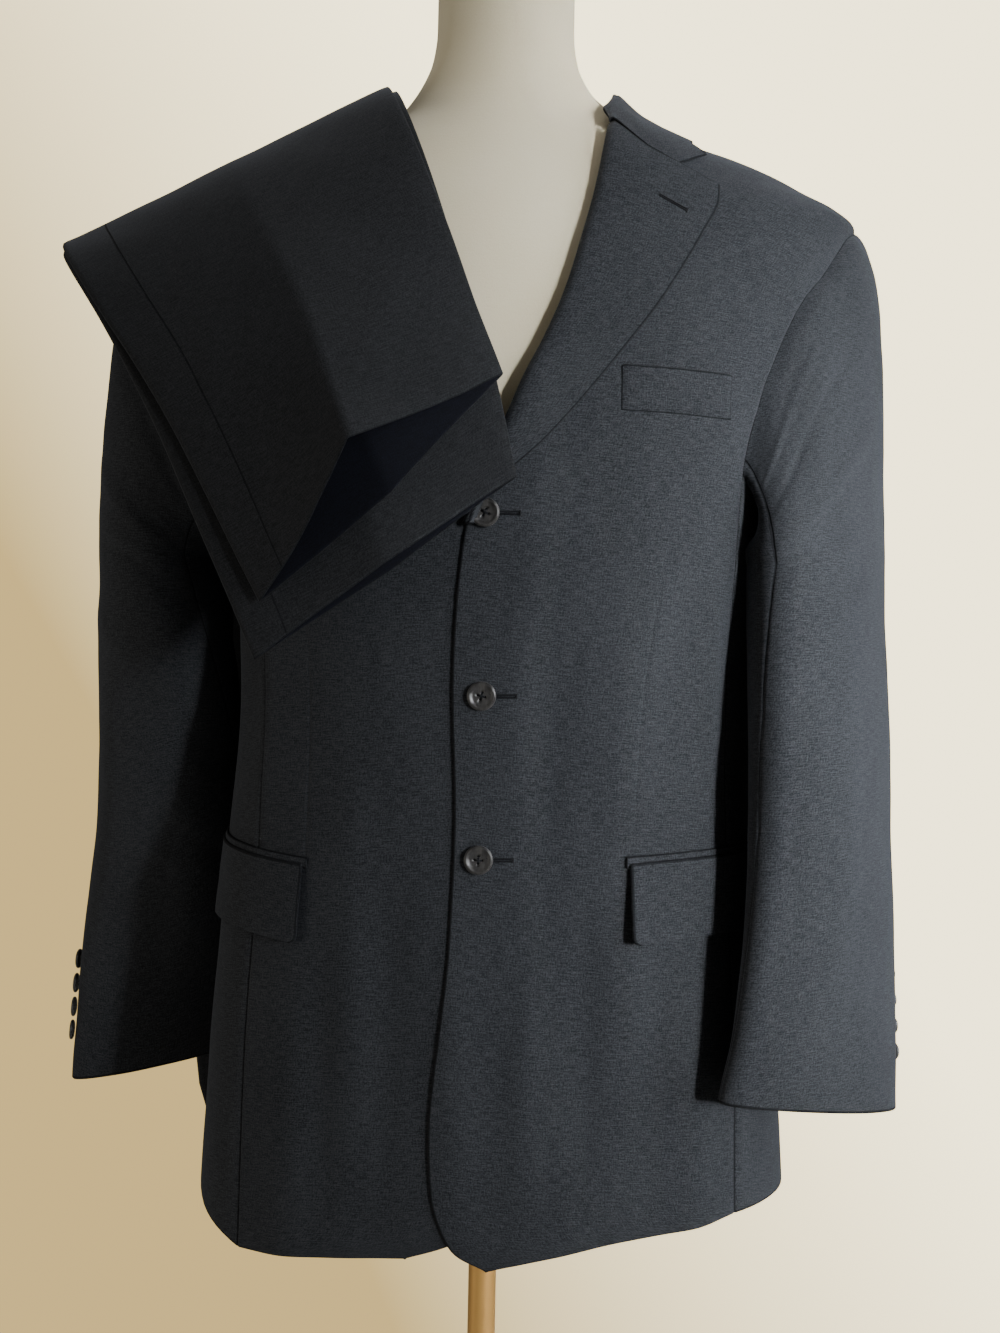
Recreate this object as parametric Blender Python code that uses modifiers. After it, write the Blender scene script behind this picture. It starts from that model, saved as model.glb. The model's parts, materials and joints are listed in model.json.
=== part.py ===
"""Two-piece suit: a jacket on a limbless dress form, its trousers over one shoulder.

X runs to the wearer's left, Y to the back, Z up; the origin is the centre of the
underside of the stand. The jacket, the trousers and the form are lofts of level
rings, and whatever lies on a panel is made from the same rings, moved out.
"""
import math

import bmesh
import bpy
from mathutils import Vector

MM = 0.001

# ---- named sizes, metres ----
JACKET_WALL = 2.0 * MM
TROUSER_WALL = 1.2 * MM
SEAM_GAP = 0.3 * MM
OVERLAP_LIFT = 2.5 * MM
FRONT_BUTTON_RADIUS = 9.4 * MM
CUFF_BUTTON_RADIUS = 7.4 * MM
FRONT_BUTTON_HEIGHTS = (1.128, 1.011, 0.9055)
CUFF_BUTTON_HEIGHTS = (0.804, 0.7885, 0.773, 0.7575)
FRONT_BUTTON_X = -0.007
FRONT_BUTTON_THICK = 3.6 * MM
CUFF_BUTTON_THICK = 3.0 * MM
BUTTON_STAND = 0.5 * MM
CUFF_BUTTON_TURN = -4.0
HOLE_RADIUS = 1.1 * MM
HOLE_TURN = 20.0
LAPEL_WALL = 2.0 * MM
FLAP_WALL = 1.8 * MM
FLAP_LIFT = 2.2 * MM
JET_WALL = 1.5 * MM
JET_LIFT = 1.5 * MM
WELT_LIFT = 1.5 * MM
LEFT_LAPEL_START = 1.1
RIGHT_LAPEL_START = 2.1
SLEEVE_SET = 1.7 * MM
LEG_ROUND = 1.6
BAND_SHARE = 2.68
POLE_RADIUS = 10.0 * MM
BASE_RADIUS = 0.165
BASE_HEIGHT = 14.0 * MM
FORM_BOTTOM = 0.700
NECK_TOP = 1.575
RIGHT_SHOULDER_DROP = 12.0 * MM
LEFT_SHOULDER_DROP = 8.0 * MM
COLLAR_ROLL = 4.5 * MM

# ---- ring tables ----
# Each row: height, right, left, front and back reach, squareness, middle of the depth.
# Outer face of the jacket's body; "right" and "left" are the wearer's half widths.
BODY = (
    (0.630, 0.204, 0.215, 0.127, 0.130, 2.45, 0.000),
    (0.756, 0.199, 0.208, 0.129, 0.128, 2.45, 0.000),
    (0.909, 0.187, 0.195, 0.128, 0.108, 2.40, 0.000),
    (1.010, 0.180, 0.188, 0.131, 0.103, 2.40, 0.000),
    (1.128, 0.187, 0.192, 0.137, 0.113, 2.45, 0.000),
    (1.200, 0.206, 0.207, 0.137, 0.121, 2.40, 0.002),
    (1.260, 0.229, 0.229, 0.127, 0.122, 2.25, 0.004),
    (1.310, 0.248, 0.246, 0.114, 0.114, 2.10, 0.005),
    (1.338, 0.255, 0.254, 0.105, 0.106, 2.02, 0.006),
    (1.350, 0.242, 0.256, 0.101, 0.102, 2.00, 0.006),
    (1.361, 0.221, 0.2445, 0.097, 0.097, 2.00, 0.007),
    (1.370, 0.202, 0.2262, 0.094, 0.093, 1.98, 0.007),
    (1.381, 0.179, 0.2060, 0.089, 0.087, 1.96, 0.007),
    (1.392, 0.154, 0.1800, 0.083, 0.081, 1.94, 0.007),
    (1.403, 0.131, 0.1455, 0.077, 0.075, 1.92, 0.007),
    (1.412, 0.110, 0.1165, 0.071, 0.071, 1.92, 0.006),
    (1.421, 0.094, 0.0990, 0.066, 0.068, 1.95, 0.006),
    (1.430, 0.083, 0.0875, 0.061, 0.065, 2.00, 0.005),
    (1.440, 0.076, 0.0790, 0.056, 0.062, 2.00, 0.005),
)

# Padded form that carries the jacket: hips, waist, chest, shoulders and neck.
FORM = (
    (0.700, 0.1500, 0.1500, 0.0820, 0.0880, 2.20, 0.000),
    (0.716, 0.1730, 0.1740, 0.1020, 0.1080, 2.30, 0.000),
    (0.760, 0.1780, 0.1800, 0.1080, 0.1120, 2.35, 0.000),
    (0.909, 0.1600, 0.1650, 0.1050, 0.0900, 2.35, 0.000),
    (1.010, 0.1520, 0.1570, 0.1080, 0.0860, 2.35, 0.000),
    (1.128, 0.1650, 0.1680, 0.1240, 0.1020, 2.35, 0.000),
    (1.200, 0.1800, 0.1810, 0.1290, 0.1130, 2.30, 0.002),
    (1.260, 0.1930, 0.1940, 0.1207, 0.1160, 2.20, 0.004),
    (1.310, 0.2040, 0.2040, 0.1097, 0.1090, 2.05, 0.005),
    (1.338, 0.2080, 0.2090, 0.1010, 0.1015, 2.00, 0.006),
    (1.350, 0.2070, 0.2100, 0.0970, 0.0975, 1.98, 0.006),
    (1.370, 0.1895, 0.2010, 0.0890, 0.0873, 1.96, 0.007),
    (1.381, 0.1688, 0.1865, 0.0831, 0.0799, 1.95, 0.007),
    (1.392, 0.1443, 0.1630, 0.0771, 0.0739, 1.94, 0.007),
    (1.403, 0.1183, 0.1290, 0.0705, 0.0679, 1.92, 0.007),
    (1.412, 0.0973, 0.1035, 0.0645, 0.0637, 1.92, 0.006),
    (1.421, 0.0813, 0.0890, 0.0596, 0.0604, 1.95, 0.006),
    (1.430, 0.0730, 0.0800, 0.0556, 0.0583, 2.00, 0.005),
    (1.440, 0.0655, 0.0675, 0.0529, 0.0538, 2.00, 0.005),
    (1.452, 0.0585, 0.0590, 0.0530, 0.0535, 2.00, 0.005),
    (1.466, 0.0530, 0.0530, 0.0515, 0.0515, 2.00, 0.005),
    (1.490, 0.0498, 0.0498, 0.0498, 0.0498, 2.00, 0.005),
    (1.575, 0.0496, 0.0496, 0.0496, 0.0496, 2.00, 0.005),
)

# Seat of the trousers over the wearer's right shoulder, chest, sleeve and back.
SADDLE = (
    (0.550, 0.600, 0.300, 0.141, 0.139, 3.00, 0.000),
    (1.060, 0.600, 0.300, 0.146, 0.139, 2.80, 0.000),
    (1.128, 0.560, 0.300, 0.152, 0.139, 2.60, 0.000),
    (1.200, 0.500, 0.300, 0.148, 0.137, 2.30, 0.002),
    (1.260, 0.430, 0.270, 0.135, 0.131, 2.10, 0.004),
    (1.300, 0.354, 0.250, 0.125, 0.124, 2.00, 0.005),
    (1.320, 0.3129, 0.240, 0.121, 0.119, 1.95, 0.006),
    (1.340, 0.2720, 0.230, 0.115, 0.114, 1.95, 0.006),
    (1.360, 0.2311, 0.215, 0.109, 0.108, 1.95, 0.006),
    (1.380, 0.1902, 0.180, 0.102, 0.104, 1.95, 0.006),
    (1.400, 0.1530, 0.140, 0.093, 0.0975, 1.95, 0.006),
    (1.420, 0.1138, 0.105, 0.081, 0.0935, 1.95, 0.006),
    (1.4365, 0.0812, 0.080, 0.067, 0.086, 1.95, 0.006),
    (1.450, 0.0530, 0.060, 0.052, 0.070, 1.95, 0.006),
)


def monotone(xs, ys, x):
    """Smooth monotone interpolation of ys over the rising xs."""
    if x <= xs[0]:
        return ys[0]
    if x >= xs[-1]:
        return ys[-1]
    i = 0
    while x > xs[i + 1]:
        i += 1
    steps = [xs[k + 1] - xs[k] for k in range(len(xs) - 1)]
    rises = [(ys[k + 1] - ys[k]) / steps[k] for k in range(len(steps))]

    def slope(k):
        if k == 0:
            return rises[0]
        if k == len(steps):
            return rises[-1]
        if rises[k - 1] * rises[k] <= 0:
            return 0.0
        before = 2 * steps[k] + steps[k - 1]
        after = steps[k] + 2 * steps[k - 1]
        return (before + after) / (before / rises[k - 1] + after / rises[k])

    h = steps[i]
    t = (x - xs[i]) / h
    a = (1 + 2 * t) * (1 - t) ** 2
    b = t * (1 - t) ** 2
    c = t * t * (3 - 2 * t)
    d = t * t * (t - 1)
    return a * ys[i] + b * h * slope(i) + c * ys[i + 1] + d * h * slope(i + 1)


def row_at(rows, x):
    """All the columns of a table at x, the first column's value."""
    xs = [row[0] for row in rows]
    return [monotone(xs, [row[k] for row in rows], x) for k in range(1, len(rows[0]))]


_ROW_CACHE = {}


def ring_row(rows, height):
    key = (id(rows), round(height, 6))
    if key not in _ROW_CACHE:
        _ROW_CACHE[key] = row_at(rows, height)
    return _ROW_CACHE[key]


def on_rings(rows, turn, height):
    """Point of a ring table at a turn in degrees (0 front, 90 wearer's left) and height."""
    right, left, front, back, square, middle = ring_row(rows, height)
    s = math.sin(math.radians(turn))
    c = math.cos(math.radians(turn))
    wide = left if s > 0 else right
    deep = front if c > 0 else back
    reach = ((abs(s) / wide) ** square + (abs(c) / deep) ** square) ** (-1.0 / square)
    return Vector((reach * s, middle - reach * c, height))


TURN_STEP = 0.4
HEIGHT_STEP = 0.0008


def ring_normal(rows, turn, height):
    around = on_rings(rows, turn + TURN_STEP, height) - on_rings(rows, turn - TURN_STEP, height)
    upward = on_rings(rows, turn, height + HEIGHT_STEP) - on_rings(rows, turn, height - HEIGHT_STEP)
    return around.cross(upward).normalized()


def skin(rows, turn, height, lift=0.0):
    return on_rings(rows, turn, height) + ring_normal(rows, turn, height) * lift


def turn_at(rows, x, height, rear=False):
    """Turn of the ring point that stands at x, on the front or the back half."""
    right, left, front, back, square, middle = ring_row(rows, height)
    wide = left if x > 0 else right
    deep = back if rear else front
    share = min(abs(x) / wide, 0.9999)
    depth = deep * (1 - share ** square) ** (1 / square)
    angle = math.degrees(math.atan2(x, depth))
    if rear:
        angle = math.copysign(180, x) - angle
    return angle


FRONT_SEAM = 61.5
BACK_SEAM = 117.5
# Turn by which a panel stops short of the seam on either side of it.
SEAM_EASE = 0.18


# ---- the jacket's own tables; turns in degrees, heights in metres ----

# Soft standing folds of the body: turn, half width, top, bottom, height of the fold.
FOLDS = (
    (53.0, 5.0, 0.900, 0.600, 4.5 * MM),
    (36.0, 7.0, 0.800, 0.600, -2.5 * MM),
    (20.0, 6.0, 0.780, 0.600, 2.0 * MM),
    (-51.0, 6.0, 0.930, 0.600, 3.5 * MM),
    (-30.0, 8.0, 0.760, 0.600, -2.0 * MM),
    (132.0, 8.0, 0.960, 0.600, 3.5 * MM),
    (-128.0, 8.0, 0.920, 0.600, 3.0 * MM),
    (158.0, 8.0, 0.860, 0.600, -2.5 * MM),
    (-160.0, 9.0, 0.900, 0.600, -2.0 * MM),
)

# Front edge and roll line (place from the middle, height) against the side seam
# and the armhole (turn, height), from the hem up to the row along the shoulder.
FRONT_LEFT = (
    (0.0, 0.0030, 0.6405, FRONT_SEAM, 0.6687),
    (1.0, -0.0185, 0.6524, FRONT_SEAM, 0.6750),
    (2.0, -0.0334, 0.6900, FRONT_SEAM, 0.7050),
    (3.0, -0.0355, 0.7332, FRONT_SEAM, 0.7450),
    (4.0, -0.0247, 0.8486, FRONT_SEAM, 0.8500),
    (5.0, -0.0224, 0.9332, FRONT_SEAM, 0.9350),
    (6.0, -0.0254, 1.0182, FRONT_SEAM, 1.0100),
    (7.0, -0.0195, 1.1137, FRONT_SEAM, 1.1000),
    (8.0, 0.0042, 1.1770, FRONT_SEAM, 1.1650),
    (9.0, 0.0325, 1.2422, 63.5, 1.2100),
    (10.0, 0.0575, 1.3168, 68.0, 1.2530),
    (11.0, 0.0695, 1.3703, 73.0, 1.2850),
    (12.0, 0.0745, 1.3980, 78.0, 1.3075),
    (13.0, 0.0774, 1.4186, 84.0, 1.3400),
    (14.0, 0.0960, 1.4290, 91.0, 1.3610),
)
FRONT_RIGHT = (
    (0.0, 0.0500, 0.6460, FRONT_SEAM, 0.6390),
    (1.0, 0.0150, 0.6590, FRONT_SEAM, 0.6500),
    (2.0, -0.0060, 0.6850, FRONT_SEAM, 0.6800),
    (3.0, -0.0140, 0.7332, FRONT_SEAM, 0.7250),
    (4.0, -0.0160, 0.8486, FRONT_SEAM, 0.8400),
    (5.0, -0.0160, 0.9332, FRONT_SEAM, 0.9300),
    (6.0, -0.0170, 1.0182, FRONT_SEAM, 1.0100),
    (7.0, -0.0160, 1.1137, FRONT_SEAM, 1.1000),
) + FRONT_LEFT[8:]

# Middle of the back and the neckline (turn, height) against the back seam and armhole.
BACK = (
    (0.0, 180.0, 0.6550, BACK_SEAM, 0.6620),
    (1.0, 180.0, 0.7560, BACK_SEAM, 0.7600),
    (2.0, 180.0, 0.9090, BACK_SEAM, 0.9000),
    (3.0, 180.0, 1.0100, BACK_SEAM, 1.0000),
    (4.0, 180.0, 1.1280, BACK_SEAM, 1.1000),
    (5.0, 180.0, 1.2200, BACK_SEAM, 1.1650),
    (6.0, 180.0, 1.3000, 116.0, 1.2000),
    (7.0, 180.0, 1.3600, 115.0, 1.2350),
    (8.0, 180.0, 1.4120, 112.0, 1.2700),
    (9.0, 150.0, 1.4150, 107.0, 1.3030),
    (10.0, 120.0, 1.4220, 100.0, 1.3340),
    (11.0, 91.0, 1.4290, 91.0, 1.3610),
)

# Armhole all round: step, turn, height; step 0 is the shoulder tip, then down the front.
ARMHOLE = (
    (0.0, 91.0, 1.3610),
    (24.0, 84.0, 1.3400),
    (45.0, 78.0, 1.3075),
    (62.0, 73.0, 1.2850),
    (80.0, 68.0, 1.2530),
    (100.0, 63.5, 1.2100),
    (124.0, FRONT_SEAM, 1.1650),
    (148.0, 72.0, 1.1440),
    (180.0, 90.0, 1.1340),
    (212.0, 107.0, 1.1420),
    (236.0, BACK_SEAM, 1.1650),
    (258.0, 115.5, 1.2150),
    (285.0, 112.0, 1.2700),
    (310.0, 107.0, 1.3030),
    (336.0, 100.0, 1.3340),
    (360.0, 91.0, 1.3610),
)

# Panel under the arm: share of the way from front seam to back seam, hem, top.
SIDE = (
    (0.00, FRONT_SEAM, 0.6687, FRONT_SEAM, 1.1650),
    (0.25, 74.0, 0.6710, 72.0, 1.1440),
    (0.55, 90.0, 0.6720, 90.0, 1.1340),
    (0.80, 107.0, 0.6680, 107.0, 1.1420),
    (1.00, BACK_SEAM, 0.6620, BACK_SEAM, 1.1650),
)
SIDE_HEM_RIGHT = ((0.00, 0.6390), (0.25, 0.6520), (0.55, 0.6700), (0.80, 0.6680), (1.00, 0.6620))

# Lapel: roll line and outer edge (place from the middle, height), bottom to top.
LAPEL = (
    (0.0, -0.0195, 1.1137, -0.0170, 1.1140),
    (1.0, -0.0090, 1.1430, -0.0045, 1.1425),
    (2.0, 0.0042, 1.1770, 0.0275, 1.1740),
    (3.0, 0.0201, 1.2163, 0.0620, 1.2139),
    (4.0, 0.0325, 1.2422, 0.0818, 1.2400),
    (5.0, 0.0464, 1.2770, 0.1062, 1.2746),
    (6.0, 0.0575, 1.3168, 0.1308, 1.3170),
    (7.0, 0.0660, 1.3506, 0.1448, 1.3455),
)
# The top row on either side, and the bow of the gorge across the lapel in millimetres;
# the right one is pressed under the trousers.
LAPEL_TOP_LEFT = (8.0, 0.0750, 1.4005, 0.1463, 1.3577)
LAPEL_TOP_RIGHT = (8.0, 0.0744, 1.3965, 0.1461, 1.3577)
GORGE_LEFT = ((0.0, 0.30, 0.64, 1.0), (0.0, -5.5, -2.2, 0.0))
GORGE_RIGHT = ((0.0, 0.30, 0.64, 1.0), (0.0, -3.0, 3.7, 0.0))
# Height of the lapel over the front against the share of its width.
LAPEL_ROLL = ((0.0, 5.4), (0.12, 5.8), (0.35, 5.0), (0.7, 3.6), (1.0, 2.8))
# The turn of the cloth round the front's edge: place beyond the roll line, height, mm.
LAPEL_TURN = ((-2.8, -1.2), (-3.4, 0.6), (-3.1, 2.6), (-1.6, 4.2))

# Collar stations from the notch round to the middle of the back; each line is a turn,
# a height and a lift over the body in millimetres.
# Columns: station, base, fold, inner, outer, edge.
COLLAR_LEFT_END = (
    (0.0, (46.0, 1.4040, -0.8), (50.3, 1.4065, 5.0), (51.8, 1.3870, 4.8), (56.3, 1.3800, 3.8),
     (66.5, 1.3930, 2.6)),
    (1.0, (56.0, 1.4220, 0.0), (60.8, 1.4235, 6.0), (59.9, 1.4085, 6.0), (62.3, 1.4015, 4.5),
     (67.4, 1.4010, 2.6)),
)
COLLAR_RIGHT_END = (
    (0.0, (42.4, 1.3990, -0.8), (42.8, 1.4000, 5.8), (54.6, 1.3842, 5.6), (61.4, 1.3785, 3.6),
     (67.0, 1.3882, 2.6)),
    (1.0, (52.7, 1.4195, 0.0), (53.2, 1.4215, 7.0), (62.5, 1.4060, 6.5), (69.0, 1.4010, 4.0),
     (75.0, 1.4030, 2.6)),
)
COLLAR = (
    (2.0, (86.0, 1.4330, 1.0), (86.0, 1.4465, 3.0), (86.0, 1.4380, 6.5), (88.0, 1.4250, 5.2),
     (90.0, 1.4165, 2.6)),
    (3.0, (118.0, 1.4300, 1.6), (118.0, 1.4490, 3.0), (118.0, 1.4390, 8.5), (118.0, 1.4240, 7.0),
     (118.0, 1.4090, 2.6)),
    (4.0, (149.0, 1.4240, 2.0), (149.0, 1.4510, 4.0), (149.0, 1.4390, 11.0),
     (149.0, 1.4220, 7.5), (149.0, 1.4050, 2.6)),
    (5.0, (180.0, 1.4220, 2.0), (180.0, 1.4520, 4.5), (180.0, 1.4390, 12.0),
     (180.0, 1.4210, 8.0), (180.0, 1.4035, 2.6)),
)
# The right half lies flat and low under the trousers.
COLLAR_PRESSED = 0.62
COLLAR_SUNK = 4.4 * MM
LEAST_LIFT = 2.5

# Sleeve rings below the armhole: height, centre x, centre y, half length, half width,
# turn of the hindarm end, front seam, back seam (turns: 0 outward, 90 to the front).
SLEEVE_LEFT = (
    (0.741, 0.2178, -0.0880, 0.0765, 0.0220, 328.0, 153.0, 322.0),
    (0.800, 0.2225, -0.0840, 0.0760, 0.0250, 321.0, 148.0, 314.0),
    (0.902, 0.2258, -0.0740, 0.0745, 0.0310, 313.0, 140.0, 303.0),
    (1.000, 0.2268, -0.0570, 0.0800, 0.0360, 305.0, 134.0, 292.0),
    (1.100, 0.2308, -0.0380, 0.0785, 0.0335, 302.5, 124.0, 268.0),
)
SLEEVE_RIGHT = (
    (0.724, 0.2480, 0.0750, 0.0700, 0.0220, 382.0, 205.0, 374.0),
    (0.780, 0.2475, 0.0720, 0.0660, 0.0300, 372.0, 196.0, 364.0),
    (0.850, 0.2465, 0.0680, 0.0620, 0.0410, 350.0, 180.0, 342.0),
    (0.950, 0.2425, 0.0520, 0.0600, 0.0500, 320.0, 158.0, 310.0),
    (1.050, 0.2430, 0.0240, 0.0700, 0.0480, 285.0, 134.0, 276.0),
    (1.100, 0.2420, 0.0140, 0.0760, 0.0450, 272.0, 124.0, 262.0),
)
SLEEVE_SLANT = 11.0 * MM
SLEEVE_TOP_SEAMS = (120.0, 250.0)

# Pockets: turn and height of the top edge at the front end and the back end.
FLAP_LEFT = (37.4, 0.9019, 86.0, 0.9110)
FLAP_RIGHT = (49.0, 0.8960, 92.0, 0.9070)
FLAP_DEPTH = 50.0 * MM
FLAP_CORNER = 5.0 * MM
JET_DEPTH = 5.6 * MM
WELT = (0.0798, 1.2255, 0.1540, 1.2247)
WELT_DEPTH = 28.5 * MM

# ---- the trousers' tables ----

# Legs laid over the shoulder, hem to fold: share of the way, outer edge, inner edge
# (place outward, height), pull and rise at the crease, pull and rise of the under face.
LEG_TOP = (
    (0.00, 0.1468, 1.0690, -0.0023, 1.2119, 25.0, 42.0, -9.0, 13.0),
    (0.25, 0.1770, 1.1270, 0.0150, 1.2560, 20.0, 27.0, -5.0, 9.5),
    (0.50, 0.2150, 1.1930, 0.0330, 1.3080, 14.0, 16.0, -2.0, 5.5),
    (0.75, 0.2600, 1.2550, 0.0540, 1.3640, 7.0, 7.0, 0.0, 2.0),
    (1.00, 0.3105, 1.3212, 0.0820, 1.4363, 0.0, 0.0, 0.0, 0.0),
)
LEG_UNDER = (
    (0.00, 0.1511, 1.0320, -0.0122, 1.1497, 3.0, 11.5, -3.0, 1.0),
    (0.25, 0.1830, 1.1050, 0.0040, 1.2200, 3.0, 6.0, -2.0, 0.5),
    (0.50, 0.2180, 1.1800, 0.0270, 1.2900, 2.0, 2.0, 0.0, 0.0),
    (0.75, 0.2600, 1.2500, 0.0490, 1.3580, 1.0, 0.0, 0.0, 0.0),
    (1.00, 0.3125, 1.3202, 0.0780, 1.4382, 0.0, 0.0, 0.0, 0.0),
)
# Down the back: share, centre place, centre height, tilt in degrees, half width.
LEG_BACK = (
    (1.00, 0.1960, 1.3790, 26.7, 0.1287),
    (1.08, 0.1800, 1.3440, 26.0, 0.1280),
    (1.20, 0.1580, 1.2900, 24.0, 0.1280),
    (1.40, 0.1300, 1.1900, 19.0, 0.1310),
    (1.70, 0.1040, 1.0450, 12.0, 0.1370),
    (2.00, 0.0920, 0.9000, 7.0, 0.1460),
    (2.25, 0.0880, 0.7800, 5.0, 0.1520),
    (2.40, 0.0870, 0.7050, 4.0, 0.1480),
    (2.55, 0.0870, 0.6385, 4.0, 0.1290),
    (2.70, 0.0870, 0.5950, 4.0, 0.1270),
)
WAIST_SHARE = 2.55
LEG_HOLLOW = 2.2 * MM
UNDER_LEG_LIFT = 0.4 * MM
TOP_LEG_LIFT = 5.5 * MM
HEM_STANDS_OFF = 3.5 * MM
LEG_SEAM = 0.13
LEG_CREASE = 0.51


# ---- shared shapes ----

def ease(value):
    t = min(max(value, 0.0), 1.0)
    return t * t * (3.0 - 2.0 * t)


def settle(side, x, height):
    """Drop of a shoulder from the tables' level; the right one carries the trousers."""
    if side > 0:
        return LEFT_SHOULDER_DROP * ease((height - 1.335) / 0.025) * ease((x - 0.070) / 0.045)
    return RIGHT_SHOULDER_DROP * ease((height - 1.17) / 0.17) * ease(abs(x) / 0.06)


def placed(side, x, height):
    """Turn and height of a place given from the middle, on either side."""
    level = height - (settle(side, x, height) if side < 0 else 0.0)
    return side * abs(turn_at(BODY, side * abs(x), level)) * (1 if x >= 0 else -1), level


def turned(side, turn, height):
    return side * turn, height - settle(side, on_rings(BODY, turn, height).x, height)


def drape(turn, height):
    rise = 0.0
    for at, width, top, bottom, deep in FOLDS:
        share = ease((top - height) / (top - bottom))
        rise += deep * share * math.exp(-((turn - at) / width) ** 2)
    return rise


def body_point(turn, height, lift=0.0):
    return skin(BODY, turn, height, lift + drape(turn, height))


def overlap(x, height):
    """Lift of the left front where it lies over the right one."""
    across = 1.0 - ease((x - 0.020) / 0.028)
    return OVERLAP_LIFT * across * (1.0 - ease((height - 1.19) / 0.05))


def spread(first, last, count):
    return [first + (last - first) * k / count for k in range(count + 1)]


def mesh_object(name, points, faces, collection):
    mesh = bpy.data.meshes.new(name)
    mesh.from_pydata([tuple(p) for p in points], [], faces)
    shaped = bmesh.new()
    shaped.from_mesh(mesh)
    bmesh.ops.recalc_face_normals(shaped, faces=shaped.faces)
    shaped.to_mesh(mesh)
    shaped.free()
    thing = bpy.data.objects.new(name, mesh)
    collection.objects.link(thing)
    return thing


def closed_wall(name, outer, inner, collection):
    """A cloth wall between two grids of the same rows and columns."""
    rows = len(outer)
    cols = len(outer[0])
    points = [p for row in outer for p in row] + [p for row in inner for p in row]
    back = rows * cols
    faces = []
    for r in range(rows - 1):
        for c in range(cols - 1):
            a = r * cols + c
            quad = (a, a + 1, a + cols + 1, a + cols)
            faces.append(quad)
            faces.append(tuple(back + k for k in reversed(quad)))
    rim = [c for c in range(cols)]
    rim += [r * cols + cols - 1 for r in range(1, rows)]
    rim += [(rows - 1) * cols + c for c in range(cols - 2, -1, -1)]
    rim += [r * cols for r in range(rows - 2, 0, -1)]
    for k, a in enumerate(rim):
        b = rim[(k + 1) % len(rim)]
        faces.append((a, back + a, back + b, b))
    return mesh_object(name, points, faces, collection)


def trimmed(grid, gap=SEAM_GAP / 2):
    """Draw the four edges of a grid in by half a seam gap."""
    rows = [list(row) for row in grid]
    for row in rows:
        row[0] = row[0] + (row[1] - row[0]).normalized() * gap
        row[-1] = row[-1] + (row[-2] - row[-1]).normalized() * gap
    for c in range(len(rows[0])):
        rows[0][c] = rows[0][c] + (rows[1][c] - rows[0][c]).normalized() * gap
        rows[-1][c] = rows[-1][c] + (rows[-2][c] - rows[-1][c]).normalized() * gap
    return rows


def body_wall(name, grid, lift_of, collection):
    """Wall over a grid of (turn, height) places, its outer face lift_of above the body."""
    outer = []
    inner = []
    for row in grid:
        lifts = [lift_of(turn, height) for turn, height in row]
        outer.append([body_point(t, z, lift) for (t, z), lift in zip(row, lifts)])
        inner.append([body_point(t, z, lift - JACKET_WALL) for (t, z), lift in zip(row, lifts)])
    return closed_wall(name, trimmed(outer), trimmed(inner), collection)


def sheet_wall(name, grid, wall, collection):
    """Wall whose middle runs through a grid of points."""
    rows = len(grid)
    cols = len(grid[0])
    outer = []
    inner = []
    for r in range(rows):
        out_row = []
        in_row = []
        for c in range(cols):
            across = grid[r][min(c + 1, cols - 1)] - grid[r][max(c - 1, 0)]
            along = grid[min(r + 1, rows - 1)][c] - grid[max(r - 1, 0)][c]
            normal = across.cross(along).normalized()
            out_row.append(grid[r][c] + normal * wall / 2)
            in_row.append(grid[r][c] - normal * wall / 2)
        outer.append(out_row)
        inner.append(in_row)
    return closed_wall(name, trimmed(outer), trimmed(inner), collection)


def no_lift(turn, height):
    return 0.0


# ---- body of the jacket ----

def front_rows(side, table):
    rows = []
    for step, x, edge_height, seam_turn, seam_height in table:
        if step < table[-1][0]:
            edge_turn, level = placed(side, x, edge_height)
        else:
            edge_turn, level = turned(side, seam_turn, edge_height)
        end_turn, end_level = turned(side, seam_turn, seam_height)
        rows.append((step, edge_turn, level, end_turn, end_level))
    return rows


def front_grid(side, table, steps, columns):
    rows = front_rows(side, table)
    grid = []
    for step in steps:
        edge_turn, edge_level, end_turn, end_level = row_at(rows, step)
        grid.append([(edge_turn + (end_turn - edge_turn) * u,
                      edge_level + (end_level - edge_level) * u) for u in columns])
    return grid


def back_grid(side, steps, columns):
    rows = []
    for step, turn, height, seam_turn, seam_height in BACK:
        near_turn, near = turned(side, turn, height)
        far_turn, far = turned(side, seam_turn, seam_height)
        rows.append((step, near_turn, near, far_turn, far))
    grid = []
    for step in steps:
        near_turn, near, far_turn, far = row_at(rows, step)
        grid.append([(near_turn + (far_turn - near_turn) * u,
                      near + (far - near) * u) for u in columns])
    return grid


def side_grid(side, shares, levels):
    grid = []
    for level in levels:
        row = []
        for share in shares:
            hem_turn, hem, top_turn, top = row_at(SIDE, share)
            if side < 0:
                hem = row_at(SIDE_HEM_RIGHT, share)[0]
            turn = hem_turn + (top_turn - hem_turn) * level + SEAM_EASE * (1.0 - 2.0 * share)
            row.append(turned(side, turn, hem + (top - hem) * level))
        grid.append(row)
    return grid


# ---- lapels and collar ----

def lapel_place(side, step, share, mm=0.0):
    top = LAPEL_TOP_LEFT if side > 0 else LAPEL_TOP_RIGHT
    gorge = GORGE_LEFT if side > 0 else GORGE_RIGHT
    roll_x, roll_z, edge_x, edge_z = row_at(LAPEL + (top,), step)
    width = math.hypot(edge_x - roll_x, edge_z - roll_z)
    f = share + mm * MM / width
    crown = 0.0
    if step > 7.0:
        crown = (step - 7.0) * monotone(gorge[0], gorge[1], f) * MM
    return roll_x + (edge_x - roll_x) * f, roll_z + (edge_z - roll_z) * f + crown


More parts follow.
